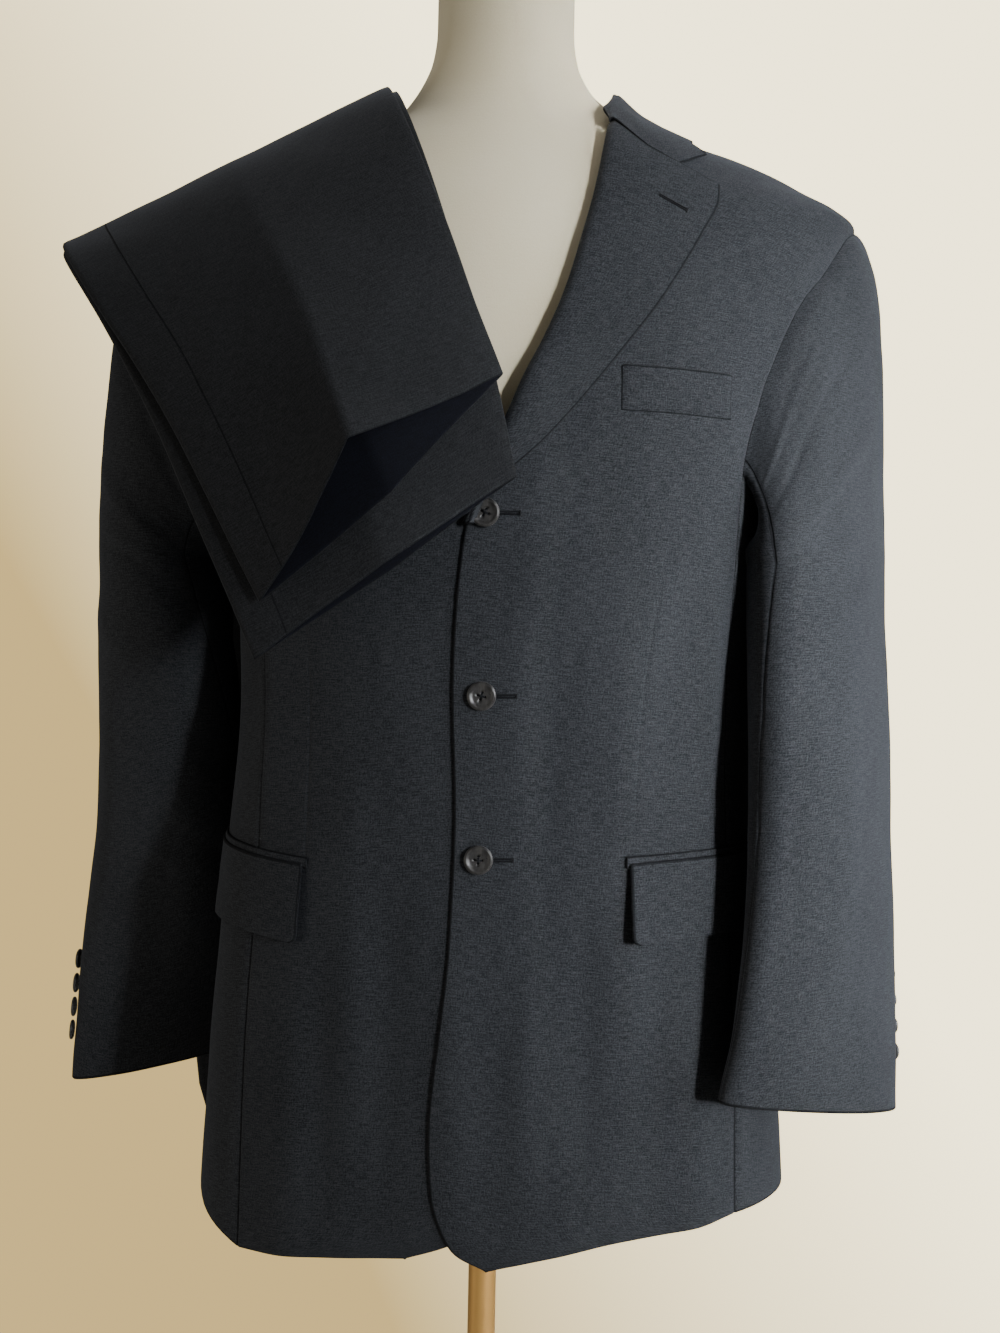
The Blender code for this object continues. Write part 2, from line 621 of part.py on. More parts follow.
def lapel_point(side, step, share, mm=0.0, height_mm=None):
    x, z = lapel_place(side, step, share, mm)
    turn, level = placed(side, x, z)
    if height_mm is None:
        height_mm = monotone([k[0] for k in LAPEL_ROLL], [k[1] for k in LAPEL_ROLL], share)
    grown = 0.9 + 0.1 * ease(step / 2.5)
    if side < 0:
        grown *= 1.0 - 0.25 * ease((step - 2.5) / 2.0)
    lift = height_mm * MM * (grown if height_mm > 0 else 1.0)
    if side > 0:
        lift += overlap(x, z)
    return body_point(turn, level, lift)


def lapel_grid(side, steps, shares):
    grid = []
    for step in steps:
        row = [lapel_point(side, step, 0.0, mm, tall) for mm, tall in LAPEL_TURN]
        row += [lapel_point(side, step, share) for share in shares]
        grid.append(row)
    return grid


def collar_line(side, station, line):
    ends = COLLAR_LEFT_END if side > 0 else COLLAR_RIGHT_END
    table = [(row[0],) + row[line] for row in ends + COLLAR]
    turn, height, lift = row_at(table, station)
    drop = settle(side, on_rings(BODY, side * turn, height).x, height)
    if side > 0:
        return body_point(turn, height - drop, lift * MM)
    share = ease((5.0 - station) / 2.0)
    drop += COLLAR_SUNK * share * ease((station - 0.8) / 1.2)
    lift = max(lift * (1.0 - (1.0 - COLLAR_PRESSED) * share), min(lift, LEAST_LIFT))
    return body_point(-turn, height - drop, lift * MM)


def collar_section(side, station):
    """One section of the collar, from the foot of the stand over the fold to the edge."""
    base, fold, inner, outer, edge = [collar_line(side, station, k) for k in range(1, 6)]
    up = (fold - base).normalized() * min(COLLAR_ROLL, 0.45 * (fold - base).length)
    down = (inner - fold).normalized() * COLLAR_ROLL
    points = [base, base.lerp(fold - up, 0.5)]
    for t in (0.0, 0.5, 1.0):
        points.append((fold - up) * (1 - t) ** 2 + fold * 2 * t * (1 - t) + (fold + down) * t ** 2)
    points += [inner, inner.lerp(outer, 0.5), outer, outer.lerp(edge, 0.5), edge]
    return points


def collar_grid(stations):
    """Sections from the left notch (0) over the middle of the back (5) to the right (10)."""
    return [collar_section(1, k) if k <= 5.0 else collar_section(-1, 10.0 - k)
            for k in stations]


# ---- sleeves ----

def sleeve_ring(side, table, height, angle):
    centre_x, centre_y, half_length, half_width, heel, _, _ = row_at(table, height)
    h = math.radians(heel)
    off = math.radians(angle - heel)
    along = half_length * math.cos(off)
    across = half_width * math.sin(off)
    x = centre_x + along * math.cos(h) - across * math.sin(h)
    y = centre_y - along * math.sin(h) - across * math.cos(h)
    slant = SLEEVE_SLANT * math.cos(off) * ease((0.86 - height) / 0.12)
    return Vector((side * x, y, height - slant))


def sleeve_point(side, table, way, angle):
    """Way 0 is the armhole, 1 the ring under the arm, 2 the cuff."""
    top = table[-1][0]
    if way >= 1.0:
        return sleeve_ring(side, table, top - (way - 1.0) * (top - table[0][0]), angle)
    a = math.radians(angle)
    turn, height = row_at(ARMHOLE, angle % 360.0)
    start = body_point(*turned(side, turn, height), -JACKET_WALL / 2)
    leave = Vector((side * 0.82, -0.40 * math.sin(a), -0.52)).normalized()
    start = start + leave * SLEEVE_SET * (1.0 + 1.1 * max(0.0, -math.cos(a)))
    end = sleeve_ring(side, table, top, angle)
    arrive = (sleeve_ring(side, table, top - 0.01, angle) - end).normalized()
    reach = (end - start).length
    t = way
    return (start * ((1 + 2 * t) * (1 - t) ** 2) + leave * (t * (1 - t) ** 2 * 0.36 * reach)
            + end * (t * t * (3 - 2 * t)) + arrive * (t * t * (t - 1) * 0.9 * reach))


def sleeve_seams(table, way):
    if way >= 1.0:
        top = table[-1][0]
        row = row_at(table, top - (way - 1.0) * (top - table[0][0]))
        return row[5], row[6]
    front, back = row_at(table, table[-1][0])[5:7]
    return (SLEEVE_TOP_SEAMS[0] + (front - SLEEVE_TOP_SEAMS[0]) * way,
            SLEEVE_TOP_SEAMS[1] + (back - SLEEVE_TOP_SEAMS[1]) * way)


def sleeve_normal(side, table, way, angle):
    around = (sleeve_point(side, table, way, angle + 1.0)
              - sleeve_point(side, table, way, angle - 1.0))
    low = min(way + 0.01, 2.0)
    high = max(way - 0.01, 0.0)
    down = sleeve_point(side, table, low, angle) - sleeve_point(side, table, high, angle)
    return around.cross(down).normalized()


def sleeve_wall(name, side, table, upper, ways, shares, collection):
    outer = []
    inner = []
    for way in ways:
        front, back = sleeve_seams(table, way)
        start, end = (back - 360.0, front) if upper else (front, back)
        start += SEAM_EASE
        end -= SEAM_EASE
        angles = [start + (end - start) * share for share in shares]
        middle = [sleeve_point(side, table, way, angle) for angle in angles]
        normals = [sleeve_normal(side, table, way, angle) for angle in angles]
        outer.append([p - n * JACKET_WALL / 2 for p, n in zip(middle, normals)])
        inner.append([p + n * JACKET_WALL / 2 for p, n in zip(middle, normals)])
    return closed_wall(name, trimmed(outer), trimmed(inner), collection)


# ---- pockets ----

def pocket_grid(side, line, downs, alongs, lift_of):
    """Grid below a pocket line of (turn, height, turn, height); downs and alongs in metres."""
    turn_a, height_a, turn_b, height_b = line
    grid = []
    for down in downs:
        row = []
        for share in alongs:
            turn = side * (turn_a + (turn_b - turn_a) * share)
            height = height_a + (height_b - height_a) * share - down
            row.append(body_point(turn, height, lift_of(share, down)))
        grid.append(row)
    return grid


def rounded_shares(down, depth, length):
    """First and last share of a flap's width at a depth, with both lower corners rounded."""
    over = max(0.0, down - (depth - FLAP_CORNER)) / FLAP_CORNER
    inset = FLAP_CORNER * (1.0 - math.sqrt(max(0.0, 1.0 - over * over)))
    return inset / length


def flap_grid(side, line, front_rise, downs, columns):
    length = (body_point(line[0], line[1]) - body_point(line[2], line[3])).length * 1.05
    turn_a, height_a, turn_b, height_b = line
    grid = []
    for down in downs:
        inset = rounded_shares(down, FLAP_DEPTH, length)
        row = []
        for column in columns:
            share = inset + (1.0 - 2.0 * inset) * column
            turn = side * (turn_a + (turn_b - turn_a) * share)
            height = height_a + (height_b - height_a) * share - down
            hang = down / FLAP_DEPTH
            lift = FLAP_LIFT + 1.0 * MM * hang + front_rise * hang * (1.0 - ease(share / 0.35))
            row.append(body_point(turn, height, lift))
        grid.append(row)
    return grid


def welt_grid(rows, columns):
    front_x, front_z, back_x, back_z = WELT
    grid = []
    for down in spread(0.0, WELT_DEPTH, rows):
        row = []
        for share in spread(0.0, 1.0, columns):
            x = front_x + (back_x - front_x) * share
            z = front_z + (back_z - front_z) * share - down
            row.append(body_point(*placed(1, x, z), WELT_LIFT))
        grid.append(row)
    return grid


# ---- trousers ----

def saddle_point(place, height, rear, lift):
    turn = turn_at(SADDLE, -place, height, rear)
    return skin(SADDLE, turn, height, lift)


def tent(share):
    """Rise of a pressed crease across a leg, 1 at the crease and 0 at both edges."""
    reach = share / LEG_CREASE if share < LEG_CREASE else (1.0 - share) / (1.0 - LEG_CREASE)
    return 0.75 * reach + 0.25 * reach * reach


def leg_frame(table, way):
    """Outer edge, inner edge, and the crease's pulls and rises, at a way along the leg."""
    if way <= 1.0:
        return row_at(table, 1.0 - (1.0 - way) ** LEG_ROUND)
    place, height, tilt, half = row_at(LEG_BACK, way)
    c = math.cos(math.radians(tilt)) * half
    s = math.sin(math.radians(tilt)) * half
    return place + c, height - s, place - c, height + s, 0.0, 0.0, 0.0, 0.0


def leg_point(table, seat, way, share, level):
    """Point of a flattened leg: share 0 outer edge to 1 inner edge, level 0 under to 1 top."""
    frame = leg_frame(table, way)
    outer_x, outer_z, inner_x, inner_z = frame[:4]
    top_pull, top_rise, low_pull, low_rise = frame[4:]
    across = math.hypot(inner_x - outer_x, inner_z - outer_z)
    pull = (low_pull + (top_pull - low_pull) * level) * MM * tent(share)
    rise = (low_rise + (top_rise - low_rise) * level) * MM * tent(share)
    place = outer_x + (inner_x - outer_x) * share + pull * (inner_z - outer_z) / across
    height = outer_z + (inner_z - outer_z) * share - pull * (inner_x - outer_x) / across
    if seat > UNDER_LEG_LIFT:
        rise += HEM_STANDS_OFF * max(0.0, 1.0 - way) ** 2
    return saddle_point(place, height, way > 1.0, seat + LEG_HOLLOW * level + rise)


LEG_FRONT_SECTION = (
    (LEG_SEAM + 0.0015, 1.0), (0.22, 1.0), (0.32, 1.0), (0.42, 1.0), (LEG_CREASE, 1.0),
    (0.61, 1.0), (0.72, 1.0), (0.83, 1.0), (0.93, 1.0),
    (0.986, 0.98), (0.997, 0.84), (1.0, 0.78), (1.0, 0.70),
)
LEG_BACK_SECTION = (
    (1.0, 0.30), (1.0, 0.22), (0.986, 0.02), (0.93, 0.0), (0.72, 0.0),
    (LEG_CREASE, 0.0), (0.30, 0.0), (0.07, 0.0),
    (0.014, 0.02), (0.003, 0.16), (0.0, 0.5), (0.003, 0.84), (0.014, 0.98), (0.06, 1.0),
    (LEG_SEAM, 1.0),
)
WAIST_SECTION = (
    (0.50, 0.0), (0.25, 0.0), (0.03, 0.0), (0.006, 0.06), (-0.006, 0.3), (-0.006, 0.7),
    (0.006, 0.94), (0.03, 1.0), (0.25, 1.0), (0.50, 1.0), (0.75, 1.0), (0.97, 1.0),
    (0.994, 0.94), (1.006, 0.7), (1.006, 0.3), (0.994, 0.06), (0.97, 0.0), (0.75, 0.0),
)


def leg_ways(back_count):
    """Ways from the hem over the shoulder to the waistband, close together at the ridge."""
    ways = [0.0, 0.16, 0.32, 0.48, 0.64, 0.8, 0.92, 1.0]
    for k in range(1, back_count + 1):
        ways.append(1.0 + (WAIST_SHARE - 1.0) * (k / back_count) ** 2.4)
    return ways


def leg_wall(name, table, seat, section, ways, collection):
    grid = [[leg_point(table, seat, way, share, level) for share, level in section]
            for way in ways]
    return sheet_wall(name, grid, TROUSER_WALL, collection)


def closed_band(name, grid, wall, collection):
    """Wall of a band closed on itself, whose middle runs through a grid of points."""
    rows = len(grid)
    cols = len(grid[0])
    outer = []
    inner = []
    for r in range(rows):
        for c in range(cols):
            across = grid[r][(c + 1) % cols] - grid[r][c - 1]
            along = grid[min(r + 1, rows - 1)][c] - grid[max(r - 1, 0)][c]
            normal = across.cross(along).normalized()
            outer.append(grid[r][c] + normal * wall / 2)
            inner.append(grid[r][c] - normal * wall / 2)
    back = rows * cols
    faces = []
    for r in range(rows - 1):
        for c in range(cols):
            d = (c + 1) % cols
            quad = (r * cols + c, r * cols + d, (r + 1) * cols + d, (r + 1) * cols + c)
            faces.append(quad)
            faces.append(tuple(back + k for k in reversed(quad)))
    for r in (0, rows - 1):
        for c in range(cols):
            a = r * cols + c
            b = r * cols + (c + 1) % cols
            faces.append((a, back + a, back + b, b))
    return mesh_object(name, outer + inner, faces, collection)


def waistband_wall(name, collection):
    tall = TOP_LEG_LIFT + LEG_HOLLOW - UNDER_LEG_LIFT
    grid = []
    for way in spread(WAIST_SHARE + 0.002, BAND_SHARE, 2):
        outer_x, outer_z, inner_x, inner_z = leg_frame(LEG_TOP, way)[:4]
        grid.append([saddle_point(outer_x + (inner_x - outer_x) * share,
                                  outer_z + (inner_z - outer_z) * share, True,
                                  UNDER_LEG_LIFT + tall * level)
                     for share, level in WAIST_SECTION])
    return closed_band(name, grid, TROUSER_WALL * 1.3, collection)


# ---- buttons ----

BUTTON_PROFILE = (
    (0.00, 0.00), (0.66, 0.00), (1.00, 0.50), (0.97, 0.92), (0.82, 1.00), (0.64, 0.78),
    (0.00, 0.74),
)


def turned_solid(name, profile, steps, collection):
    """Solid of revolution about Z from a profile that starts and ends on the axis."""
    mesh = bpy.data.meshes.new(name)
    edges = [(k, k + 1) for k in range(len(profile) - 1)]
    mesh.from_pydata([(r, 0.0, z) for r, z in profile], edges, [])
    thing = bpy.data.objects.new(name, mesh)
    collection.objects.link(thing)
    screw = thing.modifiers.new("turn", "SCREW")
    screw.axis = "Z"
    screw.steps = steps
    screw.render_steps = steps
    screw.use_merge_vertices = True
    screw.merge_threshold = 0.00001
    screw.use_normal_calculate = False
    screw.use_normal_flip = True
    return thing


def button(name, place, normal, radius, thick, steps, collection):
    profile = [(radius * r, thick * z) for r, z in BUTTON_PROFILE]
    thing = turned_solid(name, profile, steps, collection)
    thing.location = place
    thing.rotation_euler = normal.to_track_quat("Z", "Y").to_euler()
    return thing


def hole_cutter(name, host, radius, collection):
    """Four small rods through a button's thread holes."""
    points = []
    faces = []
    for k in range(4):
        turn = math.radians(45 + 90 * k + HOLE_TURN)
        cx = radius * 0.24 * math.cos(turn)
        cy = radius * 0.24 * math.sin(turn)
        start = len(points)
        for z in (-2.0 * MM, 6.0 * MM):
            for j in range(6):
                a = math.radians(60 * j)
                points.append(Vector((cx + HOLE_RADIUS * math.cos(a),
                                      cy + HOLE_RADIUS * math.sin(a), z)))
        for j in range(6):
            m = (j + 1) % 6
            faces.append((start + j, start + m, start + 6 + m, start + 6 + j))
        faces.append(tuple(start + j for j in reversed(range(6))))
        faces.append(tuple(start + 6 + j for j in range(6)))
    cutter = mesh_object(name, points, faces, collection)
    cutter.location = host.location
    cutter.rotation_euler = host.rotation_euler
    cutter.hide_render = True
    cutter.display_type = "WIRE"
    cut = host.modifiers.new("holes", "BOOLEAN")
    cut.operation = "DIFFERENCE"
    cut.solver = "EXACT"
    cut.object = cutter
    return cutter


def front_button_place(height):
    turn = turn_at(BODY, FRONT_BUTTON_X, height)
    return body_point(turn, height, OVERLAP_LIFT + BUTTON_STAND), ring_normal(BODY, turn, height)


def cuff_button_place(side, table, height):
    top = table[-1][0]
    way = 1.0 + (top - height) / (top - table[0][0])
    heel = row_at(table, height)[4]
    angle = heel + CUFF_BUTTON_TURN
    normal = sleeve_normal(side, table, way, angle)
    place = sleeve_point(side, table, way, angle)
    outward = place - Vector((side * row_at(table, height)[0], row_at(table, height)[1], place.z))
    if normal.dot(outward) < 0:
        normal = -normal
    return place + normal * (JACKET_WALL / 2 + BUTTON_STAND), normal


# ---- form and stand ----

def form_solid(name, levels, around, collection):
    points = []
    faces = []
    for level in levels:
        for k in range(around):
            points.append(on_rings(FORM, 360.0 * k / around, level))
    for r in range(len(levels) - 1):
        for k in range(around):
            m = (k + 1) % around
            faces.append((r * around + k, r * around + m, (r + 1) * around + m,
                          (r + 1) * around + k))
    faces.append(tuple(reversed(range(around))))
    last = (len(levels) - 1) * around
    faces.append(tuple(range(last, last + around)))
    return mesh_object(name, points, faces, collection)


# ---- materials ----

MATERIALS = {
    "suiting": ((0.020, 0.022, 0.028, 1.0), 0.0, 0.85),
    "horn": ((0.030, 0.028, 0.027, 1.0), 0.0, 0.35),
    "cover": ((0.720, 0.700, 0.660, 1.0), 0.0, 0.90),
    "brass": ((0.700, 0.480, 0.200, 1.0), 1.0, 0.30),
}


def paint(thing, slot):
    colour, metal, rough = MATERIALS[slot]
    material = bpy.data.materials.new(slot + "_" + thing.name)
    material.use_nodes = True
    shader = material.node_tree.nodes["Principled BSDF"]
    shader.inputs["Base Color"].default_value = colour
    shader.inputs["Metallic"].default_value = metal
    shader.inputs["Roughness"].default_value = rough
    material.diffuse_color = colour
    thing.data.materials.clear()
    thing.data.materials.append(material)


# ---- build ----

def build_jacket(parts):
    made = []
    edge_to_seam = [0.0, 0.03, 0.10, 0.18, 0.27, 0.37, 0.48, 0.59, 0.70, 0.81, 0.91, 1.0]
    front_steps = [0.0, 0.4, 0.8, 1.3, 2.0, 3.0, 4.0, 5.0, 6.0, 7.0, 7.5, 8.0, 8.5, 9.0, 9.5,
                   10.0, 10.6, 11.2, 12.0, 12.6, 13.1, 13.5, 14.0]

    def left_lift(turn, height):
        return overlap(on_rings(BODY, turn, height).x, height)

    made.append(body_wall("front_left", front_grid(1, FRONT_LEFT, front_steps, edge_to_seam),
                          left_lift, parts))
    made.append(body_wall("front_right", front_grid(-1, FRONT_RIGHT, front_steps, edge_to_seam),
                          no_lift, parts))
    back_steps = [0.0, 0.7, 1.4, 2.1, 2.8, 3.5, 4.2, 5.0, 5.5, 6.0, 6.5, 7.0, 7.5, 8.0, 8.5,
                  9.0, 9.7, 10.4, 11.0]
    for side, hand in ((1, "left"), (-1, "right")):
        made.append(body_wall("side_" + hand, side_grid(side, spread(0.0, 1.0, 5),
                                                        spread(0.0, 1.0, 11)), no_lift, parts))
        made.append(body_wall("back_" + hand, back_grid(side, back_steps, spread(0.0, 1.0, 9)),
                              no_lift, parts))
        first = LEFT_LAPEL_START if side > 0 else RIGHT_LAPEL_START
        made.append(sheet_wall("lapel_" + hand,
                               lapel_grid(side, spread(first, 8.0, 13),
                                          [0.0, 0.08, 0.2, 0.4, 0.6, 0.8, 1.0]),
                               LAPEL_WALL, parts))
        table = SLEEVE_LEFT if side > 0 else SLEEVE_RIGHT
        ways = [0.0, 0.12, 0.25, 0.4, 0.55, 0.7, 0.85, 1.0, 1.12, 1.26, 1.4, 1.54, 1.68, 1.8,
                1.9, 2.0]
        made.append(sleeve_wall("sleeve_upper_" + hand, side, table, True, ways,
                                spread(0.0, 1.0, 15), parts))
        made.append(sleeve_wall("sleeve_under_" + hand, side, table, False, ways,
                                spread(0.0, 1.0, 9), parts))
        line = FLAP_LEFT if side > 0 else FLAP_RIGHT
        rise = 5.0 * MM if side > 0 else 1.5 * MM
        downs = [0.3 * MM, 20.0 * MM, FLAP_DEPTH - FLAP_CORNER, FLAP_DEPTH - 2.6 * MM,
                 FLAP_DEPTH - 1.0 * MM, FLAP_DEPTH - 0.2 * MM]
        made.append(sheet_wall("flap_" + hand,
                               flap_grid(side, line, rise, downs,
                                         [0.0, 0.06, 0.2, 0.35, 0.5, 0.65, 0.8, 0.94, 1.0]),
                               FLAP_WALL, parts))
        made.append(sheet_wall("jet_" + hand,
                               pocket_grid(side, line, [-JET_DEPTH, -0.3 * MM],
                                           spread(-0.02, 1.02, 8),
                                           lambda share, down: JET_LIFT), JET_WALL, parts))
    made.append(sheet_wall("breast_welt", welt_grid(2, 6), JET_WALL, parts))
    made.append(sheet_wall("collar", collar_grid(spread(0.0, 10.0, 20)), JACKET_WALL, parts))
    return made


def build_trousers(parts):
    ways = leg_ways(9)
    return [
        leg_wall("leg_left_front", LEG_TOP, TOP_LEG_LIFT, LEG_FRONT_SECTION, ways, parts),
        leg_wall("leg_left_back", LEG_TOP, TOP_LEG_LIFT, LEG_BACK_SECTION, ways, parts),
        leg_wall("leg_right_front", LEG_UNDER, UNDER_LEG_LIFT, LEG_FRONT_SECTION, ways, parts),
        leg_wall("leg_right_back", LEG_UNDER, UNDER_LEG_LIFT, LEG_BACK_SECTION, ways, parts),
        waistband_wall("waistband", parts),
    ]


def build_buttons(parts, cutters):
    made = []
    for k, height in enumerate(FRONT_BUTTON_HEIGHTS):
        place, normal = front_button_place(height)
        thing = button("front_button_%d" % (k + 1), place, normal, FRONT_BUTTON_RADIUS,
                       FRONT_BUTTON_THICK, 14, parts)
        hole_cutter("holes_%d" % (k + 1), thing, FRONT_BUTTON_RADIUS, cutters)
        made.append(thing)
    for side, hand, table in ((1, "left", SLEEVE_LEFT), (-1, "right", SLEEVE_RIGHT)):
        lift = table[0][0] - SLEEVE_RIGHT[0][0]
        for k, height in enumerate(CUFF_BUTTON_HEIGHTS):
            place, normal = cuff_button_place(side, table, height + lift)
            made.append(button("cuff_button_%s_%d" % (hand, k + 1), place, normal,
                               CUFF_BUTTON_RADIUS, CUFF_BUTTON_THICK, 10, parts))
    return made


def build_stand(parts):
    levels = [row[0] for row in FORM]
    made = [("cover", form_solid("form_body", levels, 30, parts))]
    cap = turned_solid("neck_cap", ((0.0, 0.0), (0.0496, 0.0), (0.0496, 0.006), (0.047, 0.010),
                                    (0.0, 0.012)), 20, parts)
    cap.location = (0.0, FORM[-1][6], NECK_TOP + 0.1 * MM)
    pole = turned_solid("pole", ((0.0, 0.0), (POLE_RADIUS, 0.0),
                                 (POLE_RADIUS, FORM_BOTTOM - BASE_HEIGHT - 0.4 * MM),
                                 (0.0, FORM_BOTTOM - BASE_HEIGHT - 0.4 * MM)), 16, parts)
    pole.location = (0.0, 0.0, BASE_HEIGHT + 0.2 * MM)
    base = turned_solid("base", ((0.0, 0.0), (BASE_RADIUS, 0.0), (BASE_RADIUS, 0.004),
                                 (BASE_RADIUS - 0.003, 0.007), (0.05, 0.011), (0.022, BASE_HEIGHT),
                                 (0.0, BASE_HEIGHT)), 32, parts)
    return made + [("brass", cap), ("brass", pole), ("brass", base)]


def main():
    for thing in list(bpy.data.objects):
        bpy.data.objects.remove(thing)
    parts = bpy.data.collections.new("two_piece_suit")
    cutters = bpy.data.collections.new("two_piece_suit_cutters")
    bpy.context.scene.collection.children.link(parts)
    bpy.context.scene.collection.children.link(cutters)
    cutters.hide_render = True
    for thing in build_jacket(parts) + build_trousers(parts):
        paint(thing, "suiting")
    for thing in build_buttons(parts, cutters):
        paint(thing, "horn")
    for slot, thing in build_stand(parts):
        paint(thing, slot)


main()
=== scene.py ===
"""Two-piece suit on a dress form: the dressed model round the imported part.

Each cloth piece is a thin shell on its own solid's form, from the same tables and
formulas as the construction, with creases, seams, stitches and weave added.
X runs to the wearer's left, Y to the back, Z up. Turns: 0 front, 90 wearer's left.
"""
import json
import math

import bmesh
import bpy
import numpy as np
from mathutils import Matrix, Vector, noise
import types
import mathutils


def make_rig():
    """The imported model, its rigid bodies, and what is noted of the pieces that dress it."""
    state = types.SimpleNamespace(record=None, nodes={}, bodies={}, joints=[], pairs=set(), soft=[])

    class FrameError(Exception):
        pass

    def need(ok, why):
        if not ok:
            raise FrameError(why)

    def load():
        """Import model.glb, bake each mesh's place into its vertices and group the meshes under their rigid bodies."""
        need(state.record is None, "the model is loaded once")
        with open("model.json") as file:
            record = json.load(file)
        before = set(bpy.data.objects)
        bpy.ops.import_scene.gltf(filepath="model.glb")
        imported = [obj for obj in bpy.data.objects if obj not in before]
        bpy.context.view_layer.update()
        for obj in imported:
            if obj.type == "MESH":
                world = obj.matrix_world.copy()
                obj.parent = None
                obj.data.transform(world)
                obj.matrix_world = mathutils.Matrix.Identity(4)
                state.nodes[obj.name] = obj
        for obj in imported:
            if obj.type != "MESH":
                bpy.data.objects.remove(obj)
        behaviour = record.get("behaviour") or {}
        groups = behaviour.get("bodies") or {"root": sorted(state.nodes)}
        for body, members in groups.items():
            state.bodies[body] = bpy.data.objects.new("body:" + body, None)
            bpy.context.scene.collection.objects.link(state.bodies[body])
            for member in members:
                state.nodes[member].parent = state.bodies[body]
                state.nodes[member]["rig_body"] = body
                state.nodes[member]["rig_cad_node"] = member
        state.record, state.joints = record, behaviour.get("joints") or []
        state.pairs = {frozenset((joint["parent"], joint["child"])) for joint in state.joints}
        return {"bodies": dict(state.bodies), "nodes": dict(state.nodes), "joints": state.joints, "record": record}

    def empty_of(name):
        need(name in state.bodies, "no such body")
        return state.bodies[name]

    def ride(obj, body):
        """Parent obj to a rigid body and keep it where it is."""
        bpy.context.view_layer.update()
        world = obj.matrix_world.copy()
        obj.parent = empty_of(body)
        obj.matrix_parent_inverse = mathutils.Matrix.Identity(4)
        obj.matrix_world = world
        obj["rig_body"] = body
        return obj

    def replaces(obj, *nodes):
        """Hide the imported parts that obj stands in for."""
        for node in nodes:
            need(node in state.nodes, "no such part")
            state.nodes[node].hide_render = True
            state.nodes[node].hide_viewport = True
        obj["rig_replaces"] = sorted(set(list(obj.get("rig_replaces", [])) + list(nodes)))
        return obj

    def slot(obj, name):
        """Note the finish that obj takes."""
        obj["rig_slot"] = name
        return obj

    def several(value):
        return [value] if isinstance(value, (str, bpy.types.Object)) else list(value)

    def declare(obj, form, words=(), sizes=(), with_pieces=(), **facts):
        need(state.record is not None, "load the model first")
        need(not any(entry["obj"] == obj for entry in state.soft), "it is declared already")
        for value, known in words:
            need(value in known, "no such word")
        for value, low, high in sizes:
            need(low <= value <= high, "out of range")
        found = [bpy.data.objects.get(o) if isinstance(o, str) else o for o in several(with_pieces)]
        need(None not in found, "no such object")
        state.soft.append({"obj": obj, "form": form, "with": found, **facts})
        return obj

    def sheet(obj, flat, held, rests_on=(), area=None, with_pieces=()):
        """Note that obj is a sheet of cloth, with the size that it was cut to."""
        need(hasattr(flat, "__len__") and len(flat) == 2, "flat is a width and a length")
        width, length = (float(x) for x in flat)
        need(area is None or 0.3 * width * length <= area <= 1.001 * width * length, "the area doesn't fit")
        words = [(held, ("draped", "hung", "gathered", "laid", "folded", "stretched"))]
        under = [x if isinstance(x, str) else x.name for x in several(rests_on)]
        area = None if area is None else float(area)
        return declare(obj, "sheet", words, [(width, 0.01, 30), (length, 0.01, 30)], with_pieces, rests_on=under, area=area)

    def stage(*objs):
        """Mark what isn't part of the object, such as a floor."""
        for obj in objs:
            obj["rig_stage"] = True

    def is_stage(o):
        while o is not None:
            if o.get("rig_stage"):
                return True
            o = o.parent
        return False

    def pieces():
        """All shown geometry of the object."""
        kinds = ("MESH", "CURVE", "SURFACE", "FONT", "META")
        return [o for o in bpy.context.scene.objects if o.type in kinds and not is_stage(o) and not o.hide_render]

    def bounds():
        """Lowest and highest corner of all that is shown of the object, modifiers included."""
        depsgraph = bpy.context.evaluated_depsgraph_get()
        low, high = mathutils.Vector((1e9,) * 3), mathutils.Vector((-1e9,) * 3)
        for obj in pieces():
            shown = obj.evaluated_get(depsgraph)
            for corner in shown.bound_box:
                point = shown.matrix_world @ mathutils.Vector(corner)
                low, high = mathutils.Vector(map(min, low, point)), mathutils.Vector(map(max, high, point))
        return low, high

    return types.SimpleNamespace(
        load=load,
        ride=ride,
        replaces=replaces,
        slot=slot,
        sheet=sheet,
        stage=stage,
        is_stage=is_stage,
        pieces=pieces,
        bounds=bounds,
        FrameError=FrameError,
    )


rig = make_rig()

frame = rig.load()
cad_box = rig.bounds()

MM = 0.001

# ---- named sizes, metres ----
JACKET_WALL = 2.0 * MM
TROUSER_WALL = 1.2 * MM
OVERLAP_LIFT = 2.5 * MM
FRONT_BUTTON_RADIUS = 9.4 * MM
CUFF_BUTTON_RADIUS = 7.4 * MM
FRONT_BUTTON_HEIGHTS = (1.128, 1.011, 0.9055)
CUFF_BUTTON_HEIGHTS = (0.804, 0.7885, 0.773, 0.7575)
FRONT_BUTTON_X = -0.007
FRONT_BUTTON_THICK = 3.6 * MM
CUFF_BUTTON_THICK = 3.0 * MM
BUTTON_STAND = 0.5 * MM
CUFF_BUTTON_TURN = -4.0
HOLE_TURN = 20.0
LAPEL_WALL = 2.0 * MM
FLAP_WALL = 1.8 * MM
FLAP_LIFT = 2.2 * MM
JET_WALL = 1.5 * MM
JET_LIFT = 1.5 * MM
RIGHT_LAPEL_START = 2.1
LEG_ROUND = 1.6
BAND_SHARE = 2.68
POLE_RADIUS = 10.0 * MM
BASE_RADIUS = 0.165
BASE_HEIGHT = 14.0 * MM
FORM_BOTTOM = 0.700
NECK_TOP = 1.575
RIGHT_SHOULDER_DROP = 12.0 * MM
LEFT_SHOULDER_DROP = 8.0 * MM
COLLAR_ROLL = 4.5 * MM

